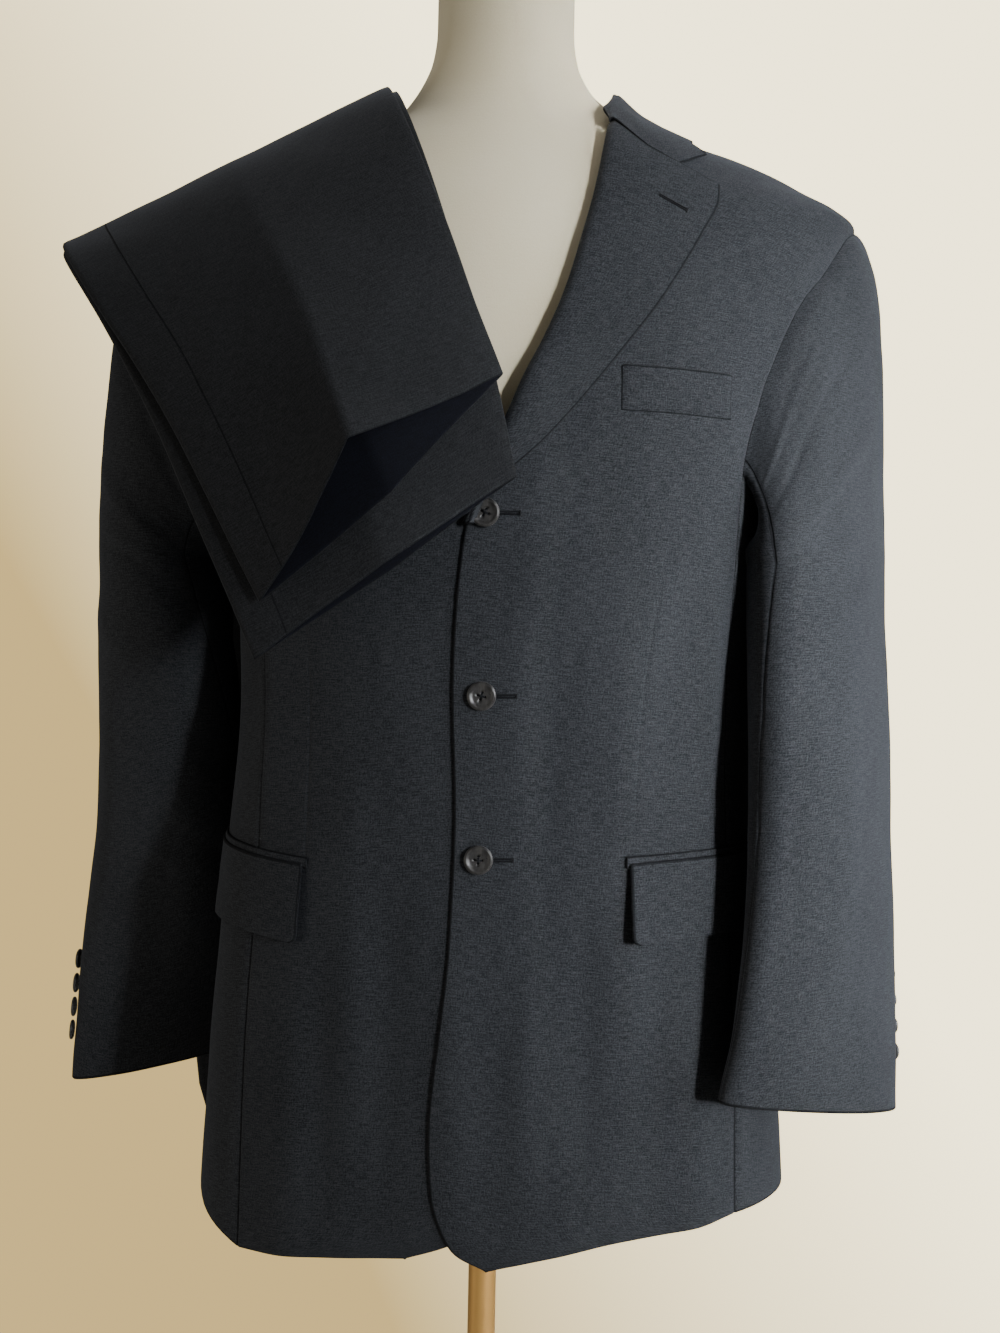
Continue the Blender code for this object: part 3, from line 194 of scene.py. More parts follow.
# ---- ring tables ----
# Each row: height, right, left, front and back reach, squareness, middle of the depth.
# Outer face of the jacket's body; "right" and "left" are the wearer's half widths.
BODY = (
    (0.630, 0.204, 0.215, 0.127, 0.130, 2.45, 0.000),
    (0.756, 0.199, 0.208, 0.129, 0.128, 2.45, 0.000),
    (0.909, 0.187, 0.195, 0.128, 0.108, 2.40, 0.000),
    (1.010, 0.180, 0.188, 0.131, 0.103, 2.40, 0.000),
    (1.128, 0.187, 0.192, 0.137, 0.113, 2.45, 0.000),
    (1.200, 0.206, 0.207, 0.137, 0.121, 2.40, 0.002),
    (1.260, 0.229, 0.229, 0.127, 0.122, 2.25, 0.004),
    (1.310, 0.248, 0.246, 0.114, 0.114, 2.10, 0.005),
    (1.338, 0.255, 0.254, 0.105, 0.106, 2.02, 0.006),
    (1.350, 0.242, 0.256, 0.101, 0.102, 2.00, 0.006),
    (1.361, 0.221, 0.2445, 0.097, 0.097, 2.00, 0.007),
    (1.370, 0.202, 0.2262, 0.094, 0.093, 1.98, 0.007),
    (1.381, 0.179, 0.2060, 0.089, 0.087, 1.96, 0.007),
    (1.392, 0.154, 0.1800, 0.083, 0.081, 1.94, 0.007),
    (1.403, 0.131, 0.1455, 0.077, 0.075, 1.92, 0.007),
    (1.412, 0.110, 0.1165, 0.071, 0.071, 1.92, 0.006),
    (1.421, 0.094, 0.0990, 0.066, 0.068, 1.95, 0.006),
    (1.430, 0.083, 0.0875, 0.061, 0.065, 2.00, 0.005),
    (1.440, 0.076, 0.0790, 0.056, 0.062, 2.00, 0.005),
)

# Padded form that carries the jacket: hips, waist, chest, shoulders and neck.
FORM = (
    (0.700, 0.1500, 0.1500, 0.0820, 0.0880, 2.20, 0.000),
    (0.716, 0.1730, 0.1740, 0.1020, 0.1080, 2.30, 0.000),
    (0.760, 0.1780, 0.1800, 0.1080, 0.1120, 2.35, 0.000),
    (0.909, 0.1600, 0.1650, 0.1050, 0.0900, 2.35, 0.000),
    (1.010, 0.1520, 0.1570, 0.1080, 0.0860, 2.35, 0.000),
    (1.128, 0.1650, 0.1680, 0.1240, 0.1020, 2.35, 0.000),
    (1.200, 0.1800, 0.1810, 0.1290, 0.1130, 2.30, 0.002),
    (1.260, 0.1930, 0.1940, 0.1207, 0.1160, 2.20, 0.004),
    (1.310, 0.2040, 0.2040, 0.1097, 0.1090, 2.05, 0.005),
    (1.338, 0.2080, 0.2090, 0.1010, 0.1015, 2.00, 0.006),
    (1.350, 0.2070, 0.2100, 0.0970, 0.0975, 1.98, 0.006),
    (1.370, 0.1895, 0.2010, 0.0890, 0.0873, 1.96, 0.007),
    (1.381, 0.1688, 0.1865, 0.0831, 0.0799, 1.95, 0.007),
    (1.392, 0.1443, 0.1630, 0.0771, 0.0739, 1.94, 0.007),
    (1.403, 0.1183, 0.1290, 0.0705, 0.0679, 1.92, 0.007),
    (1.412, 0.0973, 0.1035, 0.0645, 0.0637, 1.92, 0.006),
    (1.421, 0.0813, 0.0890, 0.0596, 0.0604, 1.95, 0.006),
    (1.430, 0.0730, 0.0800, 0.0556, 0.0583, 2.00, 0.005),
    (1.440, 0.0655, 0.0675, 0.0529, 0.0538, 2.00, 0.005),
    (1.452, 0.0585, 0.0590, 0.0530, 0.0535, 2.00, 0.005),
    (1.466, 0.0530, 0.0530, 0.0515, 0.0515, 2.00, 0.005),
    (1.490, 0.0498, 0.0498, 0.0498, 0.0498, 2.00, 0.005),
    (1.575, 0.0496, 0.0496, 0.0496, 0.0496, 2.00, 0.005),
)

# Seat of the trousers over the wearer's right shoulder, chest, sleeve and back.
SADDLE = (
    (0.550, 0.600, 0.300, 0.141, 0.139, 3.00, 0.000),
    (1.060, 0.600, 0.300, 0.146, 0.139, 2.80, 0.000),
    (1.128, 0.560, 0.300, 0.152, 0.139, 2.60, 0.000),
    (1.200, 0.500, 0.300, 0.148, 0.137, 2.30, 0.002),
    (1.260, 0.430, 0.270, 0.135, 0.131, 2.10, 0.004),
    (1.300, 0.354, 0.250, 0.125, 0.124, 2.00, 0.005),
    (1.320, 0.3129, 0.240, 0.121, 0.119, 1.95, 0.006),
    (1.340, 0.2720, 0.230, 0.115, 0.114, 1.95, 0.006),
    (1.360, 0.2311, 0.215, 0.109, 0.108, 1.95, 0.006),
    (1.380, 0.1902, 0.180, 0.102, 0.104, 1.95, 0.006),
    (1.400, 0.1530, 0.140, 0.093, 0.0975, 1.95, 0.006),
    (1.420, 0.1138, 0.105, 0.081, 0.0935, 1.95, 0.006),
    (1.4365, 0.0812, 0.080, 0.067, 0.086, 1.95, 0.006),
    (1.450, 0.0530, 0.060, 0.052, 0.070, 1.95, 0.006),
)


def monotone(xs, ys, x):
    """Smooth monotone interpolation of ys over the rising xs."""
    if x <= xs[0]:
        return ys[0]
    if x >= xs[-1]:
        return ys[-1]
    i = 0
    while x > xs[i + 1]:
        i += 1
    steps = [xs[k + 1] - xs[k] for k in range(len(xs) - 1)]
    rises = [(ys[k + 1] - ys[k]) / steps[k] for k in range(len(steps))]

    def slope(k):
        if k == 0:
            return rises[0]
        if k == len(steps):
            return rises[-1]
        if rises[k - 1] * rises[k] <= 0:
            return 0.0
        before = 2 * steps[k] + steps[k - 1]
        after = steps[k] + 2 * steps[k - 1]
        return (before + after) / (before / rises[k - 1] + after / rises[k])

    h = steps[i]
    t = (x - xs[i]) / h
    a = (1 + 2 * t) * (1 - t) ** 2
    b = t * (1 - t) ** 2
    c = t * t * (3 - 2 * t)
    d = t * t * (t - 1)
    return a * ys[i] + b * h * slope(i) + c * ys[i + 1] + d * h * slope(i + 1)


def row_at(rows, x):
    """All the columns of a table at x, the first column's value."""
    xs = [row[0] for row in rows]
    return [monotone(xs, [row[k] for row in rows], x) for k in range(1, len(rows[0]))]


_ROW_CACHE = {}


def ring_row(rows, height):
    key = (id(rows), round(height, 6))
    if key not in _ROW_CACHE:
        _ROW_CACHE[key] = row_at(rows, height)
    return _ROW_CACHE[key]


def on_rings(rows, turn, height):
    """Point of a ring table at a turn in degrees (0 front, 90 wearer's left) and height."""
    right, left, front, back, square, middle = ring_row(rows, height)
    s = math.sin(math.radians(turn))
    c = math.cos(math.radians(turn))
    wide = left if s > 0 else right
    deep = front if c > 0 else back
    reach = ((abs(s) / wide) ** square + (abs(c) / deep) ** square) ** (-1.0 / square)
    return Vector((reach * s, middle - reach * c, height))


TURN_STEP = 0.4
HEIGHT_STEP = 0.0008


def ring_normal(rows, turn, height):
    around = on_rings(rows, turn + TURN_STEP, height) - on_rings(rows, turn - TURN_STEP, height)
    upward = on_rings(rows, turn, height + HEIGHT_STEP) - on_rings(rows, turn, height - HEIGHT_STEP)
    return around.cross(upward).normalized()


def skin(rows, turn, height, lift=0.0):
    return on_rings(rows, turn, height) + ring_normal(rows, turn, height) * lift


def turn_at(rows, x, height, rear=False):
    """Turn of the ring point that stands at x, on the front or the back half."""
    right, left, front, back, square, _ = ring_row(rows, height)
    wide = left if x > 0 else right
    deep = back if rear else front
    share = min(abs(x) / wide, 0.9999)
    depth = deep * (1 - share ** square) ** (1 / square)
    angle = math.degrees(math.atan2(x, depth))
    if rear:
        angle = math.copysign(180, x) - angle
    return angle


FRONT_SEAM = 61.5
BACK_SEAM = 117.5
# Turn by which a panel stops short of the seam on either side of it.
SEAM_EASE = 0.18


# ---- the jacket's own tables; turns in degrees, heights in metres ----

# Soft standing folds of the body: turn, half width, top, bottom, height of the fold.
FOLDS = (
    (53.0, 5.0, 0.900, 0.600, 4.5 * MM),
    (36.0, 7.0, 0.800, 0.600, -2.5 * MM),
    (20.0, 6.0, 0.780, 0.600, 2.0 * MM),
    (-51.0, 6.0, 0.930, 0.600, 3.5 * MM),
    (-30.0, 8.0, 0.760, 0.600, -2.0 * MM),
    (132.0, 8.0, 0.960, 0.600, 3.5 * MM),
    (-128.0, 8.0, 0.920, 0.600, 3.0 * MM),
    (158.0, 8.0, 0.860, 0.600, -2.5 * MM),
    (-160.0, 9.0, 0.900, 0.600, -2.0 * MM),
)

# Front edge and roll line (place from the middle, height) against the side seam
# and the armhole (turn, height), from the hem up to the row along the shoulder.
FRONT_LEFT = (
    (0.0, 0.0030, 0.6405, FRONT_SEAM, 0.6687),
    (1.0, -0.0185, 0.6524, FRONT_SEAM, 0.6750),
    (2.0, -0.0334, 0.6900, FRONT_SEAM, 0.7050),
    (3.0, -0.0355, 0.7332, FRONT_SEAM, 0.7450),
    (4.0, -0.0247, 0.8486, FRONT_SEAM, 0.8500),
    (5.0, -0.0224, 0.9332, FRONT_SEAM, 0.9350),
    (6.0, -0.0254, 1.0182, FRONT_SEAM, 1.0100),
    (7.0, -0.0195, 1.1137, FRONT_SEAM, 1.1000),
    (8.0, 0.0042, 1.1770, FRONT_SEAM, 1.1650),
    (9.0, 0.0325, 1.2422, 63.5, 1.2100),
    (10.0, 0.0575, 1.3168, 68.0, 1.2530),
    (11.0, 0.0695, 1.3703, 73.0, 1.2850),
    (12.0, 0.0745, 1.3980, 78.0, 1.3075),
    (13.0, 0.0774, 1.4186, 84.0, 1.3400),
    (14.0, 0.0960, 1.4290, 91.0, 1.3610),
)
FRONT_RIGHT = (
    (0.0, 0.0500, 0.6460, FRONT_SEAM, 0.6390),
    (1.0, 0.0150, 0.6590, FRONT_SEAM, 0.6500),
    (2.0, -0.0060, 0.6850, FRONT_SEAM, 0.6800),
    (3.0, -0.0140, 0.7332, FRONT_SEAM, 0.7250),
    (4.0, -0.0160, 0.8486, FRONT_SEAM, 0.8400),
    (5.0, -0.0160, 0.9332, FRONT_SEAM, 0.9300),
    (6.0, -0.0170, 1.0182, FRONT_SEAM, 1.0100),
    (7.0, -0.0160, 1.1137, FRONT_SEAM, 1.1000),
) + FRONT_LEFT[8:]

# Middle of the back and the neckline (turn, height) against the back seam and armhole.
BACK = (
    (0.0, 180.0, 0.6550, BACK_SEAM, 0.6620),
    (1.0, 180.0, 0.7560, BACK_SEAM, 0.7600),
    (2.0, 180.0, 0.9090, BACK_SEAM, 0.9000),
    (3.0, 180.0, 1.0100, BACK_SEAM, 1.0000),
    (4.0, 180.0, 1.1280, BACK_SEAM, 1.1000),
    (5.0, 180.0, 1.2200, BACK_SEAM, 1.1650),
    (6.0, 180.0, 1.3000, 116.0, 1.2000),
    (7.0, 180.0, 1.3600, 115.0, 1.2350),
    (8.0, 180.0, 1.4120, 112.0, 1.2700),
    (9.0, 150.0, 1.4150, 107.0, 1.3030),
    (10.0, 120.0, 1.4220, 100.0, 1.3340),
    (11.0, 91.0, 1.4290, 91.0, 1.3610),
)

# Armhole all round: step, turn, height; step 0 is the shoulder tip, then down the front.
ARMHOLE = (
    (0.0, 91.0, 1.3610),
    (24.0, 84.0, 1.3400),
    (45.0, 78.0, 1.3075),
    (62.0, 73.0, 1.2850),
    (80.0, 68.0, 1.2530),
    (100.0, 63.5, 1.2100),
    (124.0, FRONT_SEAM, 1.1650),
    (148.0, 72.0, 1.1440),
    (180.0, 90.0, 1.1340),
    (212.0, 107.0, 1.1420),
    (236.0, BACK_SEAM, 1.1650),
    (258.0, 115.5, 1.2150),
    (285.0, 112.0, 1.2700),
    (310.0, 107.0, 1.3030),
    (336.0, 100.0, 1.3340),
    (360.0, 91.0, 1.3610),
)

# Panel under the arm: share of the way from front seam to back seam, hem, top.
SIDE = (
    (0.00, FRONT_SEAM, 0.6687, FRONT_SEAM, 1.1650),
    (0.25, 74.0, 0.6710, 72.0, 1.1440),
    (0.55, 90.0, 0.6720, 90.0, 1.1340),
    (0.80, 107.0, 0.6680, 107.0, 1.1420),
    (1.00, BACK_SEAM, 0.6620, BACK_SEAM, 1.1650),
)
SIDE_HEM_RIGHT = ((0.00, 0.6390), (0.25, 0.6520), (0.55, 0.6700), (0.80, 0.6680), (1.00, 0.6620))

# Lapel: roll line and outer edge (place from the middle, height), bottom to top.
LAPEL = (
    (0.0, -0.0195, 1.1137, -0.0170, 1.1140),
    (1.0, -0.0090, 1.1430, -0.0045, 1.1425),
    (2.0, 0.0042, 1.1770, 0.0275, 1.1740),
    (3.0, 0.0201, 1.2163, 0.0620, 1.2139),
    (4.0, 0.0325, 1.2422, 0.0818, 1.2400),
    (5.0, 0.0464, 1.2770, 0.1062, 1.2746),
    (6.0, 0.0575, 1.3168, 0.1308, 1.3170),
    (7.0, 0.0660, 1.3506, 0.1448, 1.3455),
)
# The top row on either side, and the bow of the gorge across the lapel in millimetres;
# the right one is pressed under the trousers.
LAPEL_TOP_LEFT = (8.0, 0.0750, 1.4005, 0.1463, 1.3577)
LAPEL_TOP_RIGHT = (8.0, 0.0744, 1.3965, 0.1461, 1.3577)
GORGE_LEFT = ((0.0, 0.30, 0.64, 1.0), (0.0, -5.5, -2.2, 0.0))
GORGE_RIGHT = ((0.0, 0.30, 0.64, 1.0), (0.0, -3.0, 3.7, 0.0))
# Height of the lapel over the front against the share of its width.
LAPEL_ROLL = ((0.0, 5.4), (0.12, 5.8), (0.35, 5.0), (0.7, 3.6), (1.0, 2.8))
# The turn of the cloth round the front's edge: place beyond the roll line, height, mm.
LAPEL_TURN = ((-2.8, -1.2), (-3.4, 0.6), (-3.1, 2.6), (-1.6, 4.2))

# Collar stations from the notch round to the middle of the back; each line is a turn,
# a height and a lift over the body in millimetres.
# Columns: station, base, fold, inner, outer, edge.
COLLAR_LEFT_END = (
    (0.0, (46.0, 1.4040, -0.8), (50.3, 1.4065, 5.0), (51.8, 1.3870, 4.8), (56.3, 1.3800, 3.8),
     (66.5, 1.3930, 2.6)),
    (1.0, (56.0, 1.4220, 0.0), (60.8, 1.4235, 6.0), (59.9, 1.4085, 6.0), (62.3, 1.4015, 4.5),
     (67.4, 1.4010, 2.6)),
)
COLLAR_RIGHT_END = (
    (0.0, (42.4, 1.3990, -0.8), (42.8, 1.4000, 5.8), (54.6, 1.3842, 5.6), (61.4, 1.3785, 3.6),
     (67.0, 1.3882, 2.6)),
    (1.0, (52.7, 1.4195, 0.0), (53.2, 1.4215, 7.0), (62.5, 1.4060, 6.5), (69.0, 1.4010, 4.0),
     (75.0, 1.4030, 2.6)),
)
COLLAR = (
    (2.0, (86.0, 1.4330, 1.0), (86.0, 1.4465, 3.0), (86.0, 1.4380, 6.5), (88.0, 1.4250, 5.2),
     (90.0, 1.4165, 2.6)),
    (3.0, (118.0, 1.4300, 1.6), (118.0, 1.4490, 3.0), (118.0, 1.4390, 8.5), (118.0, 1.4240, 7.0),
     (118.0, 1.4090, 2.6)),
    (4.0, (149.0, 1.4240, 2.0), (149.0, 1.4510, 4.0), (149.0, 1.4390, 11.0),
     (149.0, 1.4220, 7.5), (149.0, 1.4050, 2.6)),
    (5.0, (180.0, 1.4220, 2.0), (180.0, 1.4520, 4.5), (180.0, 1.4390, 12.0),
     (180.0, 1.4210, 8.0), (180.0, 1.4035, 2.6)),
)
# The right half lies flat and low under the trousers.
COLLAR_PRESSED = 0.62
COLLAR_SUNK = 4.4 * MM
LEAST_LIFT = 2.5

# Sleeve rings below the armhole: height, centre x, centre y, half length, half width,
# turn of the hindarm end, front seam, back seam (turns: 0 outward, 90 to the front).
SLEEVE_LEFT = (
    (0.741, 0.2178, -0.0880, 0.0765, 0.0220, 328.0, 153.0, 322.0),
    (0.800, 0.2225, -0.0840, 0.0760, 0.0250, 321.0, 148.0, 314.0),
    (0.902, 0.2258, -0.0740, 0.0745, 0.0310, 313.0, 140.0, 303.0),
    (1.000, 0.2268, -0.0570, 0.0800, 0.0360, 305.0, 134.0, 292.0),
    (1.100, 0.2308, -0.0380, 0.0785, 0.0335, 302.5, 124.0, 268.0),
)
SLEEVE_RIGHT = (
    (0.724, 0.2480, 0.0750, 0.0700, 0.0220, 382.0, 205.0, 374.0),
    (0.780, 0.2475, 0.0720, 0.0660, 0.0300, 372.0, 196.0, 364.0),
    (0.850, 0.2465, 0.0680, 0.0620, 0.0410, 350.0, 180.0, 342.0),
    (0.950, 0.2425, 0.0520, 0.0600, 0.0500, 320.0, 158.0, 310.0),
    (1.050, 0.2430, 0.0240, 0.0700, 0.0480, 285.0, 134.0, 276.0),
    (1.100, 0.2420, 0.0140, 0.0760, 0.0450, 272.0, 124.0, 262.0),
)
SLEEVE_SLANT = 11.0 * MM
SLEEVE_TOP_SEAMS = (120.0, 250.0)

# Pockets: turn and height of the top edge at the front end and the back end.
FLAP_LEFT = (37.4, 0.9019, 86.0, 0.9110)
FLAP_RIGHT = (49.0, 0.8960, 92.0, 0.9070)
FLAP_DEPTH = 50.0 * MM
FLAP_CORNER = 5.0 * MM
JET_DEPTH = 5.6 * MM
WELT = (0.0798, 1.2255, 0.1540, 1.2247)
WELT_DEPTH = 28.5 * MM

# ---- the trousers' tables ----

# Legs laid over the shoulder, hem to fold: share of the way, outer edge, inner edge
# (place outward, height), pull and rise at the crease, pull and rise of the under face.
LEG_TOP = (
    (0.00, 0.1468, 1.0690, -0.0023, 1.2119, 25.0, 42.0, -9.0, 13.0),
    (0.25, 0.1770, 1.1270, 0.0150, 1.2560, 20.0, 27.0, -5.0, 9.5),
    (0.50, 0.2150, 1.1930, 0.0330, 1.3080, 14.0, 16.0, -2.0, 5.5),
    (0.75, 0.2600, 1.2550, 0.0540, 1.3640, 7.0, 7.0, 0.0, 2.0),
    (1.00, 0.3105, 1.3212, 0.0820, 1.4363, 0.0, 0.0, 0.0, 0.0),
)
LEG_UNDER = (
    (0.00, 0.1511, 1.0320, -0.0122, 1.1497, 3.0, 11.5, -3.0, 1.0),
    (0.25, 0.1830, 1.1050, 0.0040, 1.2200, 3.0, 6.0, -2.0, 0.5),
    (0.50, 0.2180, 1.1800, 0.0270, 1.2900, 2.0, 2.0, 0.0, 0.0),
    (0.75, 0.2600, 1.2500, 0.0490, 1.3580, 1.0, 0.0, 0.0, 0.0),
    (1.00, 0.3125, 1.3202, 0.0780, 1.4382, 0.0, 0.0, 0.0, 0.0),
)
# Down the back: share, centre place, centre height, tilt in degrees, half width.
LEG_BACK = (
    (1.00, 0.1960, 1.3790, 26.7, 0.1287),
    (1.08, 0.1800, 1.3440, 26.0, 0.1280),
    (1.20, 0.1580, 1.2900, 24.0, 0.1280),
    (1.40, 0.1300, 1.1900, 19.0, 0.1310),
    (1.70, 0.1040, 1.0450, 12.0, 0.1370),
    (2.00, 0.0920, 0.9000, 7.0, 0.1460),
    (2.25, 0.0880, 0.7800, 5.0, 0.1520),
    (2.40, 0.0870, 0.7050, 4.0, 0.1480),
    (2.55, 0.0870, 0.6385, 4.0, 0.1290),
    (2.70, 0.0870, 0.5950, 4.0, 0.1270),
)
WAIST_SHARE = 2.55
LEG_HOLLOW = 2.2 * MM
UNDER_LEG_LIFT = 0.4 * MM
TOP_LEG_LIFT = 5.5 * MM
HEM_STANDS_OFF = 3.5 * MM
LEG_SEAM = 0.13
LEG_CREASE = 0.51


# ---- shared shapes ----

def ease(value):
    t = min(max(value, 0.0), 1.0)
    return t * t * (3.0 - 2.0 * t)


def settle(side, x, height):
    """Drop of a shoulder from the tables' level; the right one carries the trousers."""
    if side > 0:
        return LEFT_SHOULDER_DROP * ease((height - 1.335) / 0.025) * ease((x - 0.070) / 0.045)
    return RIGHT_SHOULDER_DROP * ease((height - 1.17) / 0.17) * ease(abs(x) / 0.06)


def placed(side, x, height):
    """Turn and height of a place given from the middle, on either side."""
    level = height - (settle(side, x, height) if side < 0 else 0.0)
    return side * abs(turn_at(BODY, side * abs(x), level)) * (1 if x >= 0 else -1), level


def turned(side, turn, height):
    return side * turn, height - settle(side, on_rings(BODY, turn, height).x, height)


def drape(turn, height):
    rise = 0.0
    for at, width, top, bottom, deep in FOLDS:
        share = ease((top - height) / (top - bottom))
        rise += deep * share * math.exp(-((turn - at) / width) ** 2)
    return rise


def overlap(x, height):
    """Lift of the left front where it lies over the right one."""
    across = 1.0 - ease((x - 0.020) / 0.028)
    return OVERLAP_LIFT * across * (1.0 - ease((height - 1.19) / 0.05))


def between(first, last, share):
    return first + (last - first) * share


def spread(first, last, count):
    return [first + (last - first) * k / count for k in range(count + 1)]


def front_rows(side, table):
    rows = []
    for step, x, edge_height, seam_turn, seam_height in table:
        if step < table[-1][0]:
            edge_turn, level = placed(side, x, edge_height)
        else:
            edge_turn, level = turned(side, seam_turn, edge_height)
        end_turn, end_level = turned(side, seam_turn, seam_height)
        rows.append((step, edge_turn, level, end_turn, end_level))
    return rows


def back_grid(side, steps, columns):
    rows = []
    for step, turn, height, seam_turn, seam_height in BACK:
        near_turn, near = turned(side, turn, height)
        far_turn, far = turned(side, seam_turn, seam_height)
        rows.append((step, near_turn, near, far_turn, far))
    grid = []
    for step in steps:
        near_turn, near, far_turn, far = row_at(rows, step)
        grid.append([(between(near_turn, far_turn, u), between(near, far, u)) for u in columns])
    return grid


def side_grid(side, shares, levels):
    grid = []
    for level in levels:
        row = []
        for share in shares:
            hem_turn, hem, top_turn, top = row_at(SIDE, share)
            if side < 0:
                hem = row_at(SIDE_HEM_RIGHT, share)[0]
            turn = between(hem_turn, top_turn, level) + SEAM_EASE * (1.0 - 2.0 * share)
            row.append(turned(side, turn, between(hem, top, level)))
        grid.append(row)
    return grid


def lapel_place(side, step, share, mm=0.0):
    top = LAPEL_TOP_LEFT if side > 0 else LAPEL_TOP_RIGHT
    gorge = GORGE_LEFT if side > 0 else GORGE_RIGHT
    roll_x, roll_z, edge_x, edge_z = row_at(LAPEL + (top,), step)
    width = math.hypot(edge_x - roll_x, edge_z - roll_z)
    f = share + mm * MM / width
    crown = 0.0
    if step > 7.0:
        crown = (step - 7.0) * monotone(gorge[0], gorge[1], f) * MM
    return between(roll_x, edge_x, f), between(roll_z, edge_z, f) + crown


def collar_line(side, station, line):
    ends = COLLAR_LEFT_END if side > 0 else COLLAR_RIGHT_END
    table = [(row[0],) + row[line] for row in ends + COLLAR]
    turn, height, lift = row_at(table, station)
    drop = settle(side, on_rings(BODY, side * turn, height).x, height)
    if side > 0:
        return body_point(turn, height - drop, lift * MM)
    share = ease((5.0 - station) / 2.0)
    drop += COLLAR_SUNK * share * ease((station - 0.8) / 1.2)
    lift = max(lift * (1.0 - (1.0 - COLLAR_PRESSED) * share), min(lift, LEAST_LIFT))
    return body_point(-turn, height - drop, lift * MM)


def sleeve_ring(side, table, height, angle):
    centre_x, centre_y, half_length, half_width, heel, _, _ = row_at(table, height)
    h = math.radians(heel)
    off = math.radians(angle - heel)
    along = half_length * math.cos(off)
    across = half_width * math.sin(off)
    x = centre_x + along * math.cos(h) - across * math.sin(h)
    y = centre_y - along * math.sin(h) - across * math.cos(h)
    slant = SLEEVE_SLANT * math.cos(off) * ease((0.86 - height) / 0.12)
    return Vector((side * x, y, height - slant))


def sleeve_seams(table, way):
    if way >= 1.0:
        top = table[-1][0]
        row = row_at(table, top - (way - 1.0) * (top - table[0][0]))
        return row[5], row[6]
    front, back = row_at(table, table[-1][0])[5:7]
    return (SLEEVE_TOP_SEAMS[0] + (front - SLEEVE_TOP_SEAMS[0]) * way,
            SLEEVE_TOP_SEAMS[1] + (back - SLEEVE_TOP_SEAMS[1]) * way)


def rounded_shares(down, depth, length):
    """First and last share of a flap's width at a depth, with both lower corners rounded."""
    over = max(0.0, down - (depth - FLAP_CORNER)) / FLAP_CORNER
    inset = FLAP_CORNER * (1.0 - math.sqrt(max(0.0, 1.0 - over * over)))
    return inset / length


def saddle_point(place, height, rear, lift):
    turn = turn_at(SADDLE, -place, height, rear)
    return skin(SADDLE, turn, height, lift)


def tent(share):
    """Rise of a pressed crease across a leg, 1 at the crease and 0 at both edges."""
    reach = share / LEG_CREASE if share < LEG_CREASE else (1.0 - share) / (1.0 - LEG_CREASE)
    return 0.75 * reach + 0.25 * reach * reach


def leg_frame(table, way):
    """Outer edge, inner edge, and the crease's pulls and rises, at a way along the leg."""
    if way <= 1.0:
        return row_at(table, 1.0 - (1.0 - way) ** LEG_ROUND)
    place, height, tilt, half = row_at(LEG_BACK, way)
    c = math.cos(math.radians(tilt)) * half
    s = math.sin(math.radians(tilt)) * half
    return place + c, height - s, place - c, height + s, 0.0, 0.0, 0.0, 0.0


LEG_FRONT_SECTION = (
    (LEG_SEAM + 0.0015, 1.0), (0.22, 1.0), (0.32, 1.0), (0.42, 1.0), (LEG_CREASE, 1.0),
    (0.61, 1.0), (0.72, 1.0), (0.83, 1.0), (0.93, 1.0),
    (0.986, 0.98), (0.997, 0.84), (1.0, 0.78), (1.0, 0.70),
)
LEG_BACK_SECTION = (
    (1.0, 0.30), (1.0, 0.22), (0.986, 0.02), (0.93, 0.0), (0.72, 0.0),
    (LEG_CREASE, 0.0), (0.30, 0.0), (0.07, 0.0),
    (0.014, 0.02), (0.003, 0.16), (0.0, 0.5), (0.003, 0.84), (0.014, 0.98), (0.06, 1.0),
    (LEG_SEAM, 1.0),
)
WAIST_SECTION = (
    (0.50, 0.0), (0.25, 0.0), (0.03, 0.0), (0.006, 0.06), (-0.006, 0.3), (-0.006, 0.7),
    (0.006, 0.94), (0.03, 1.0), (0.25, 1.0), (0.50, 1.0), (0.75, 1.0), (0.97, 1.0),
    (0.994, 0.94), (1.006, 0.7), (1.006, 0.3), (0.994, 0.06), (0.97, 0.0), (0.75, 0.0),
)


# ---- creases ----

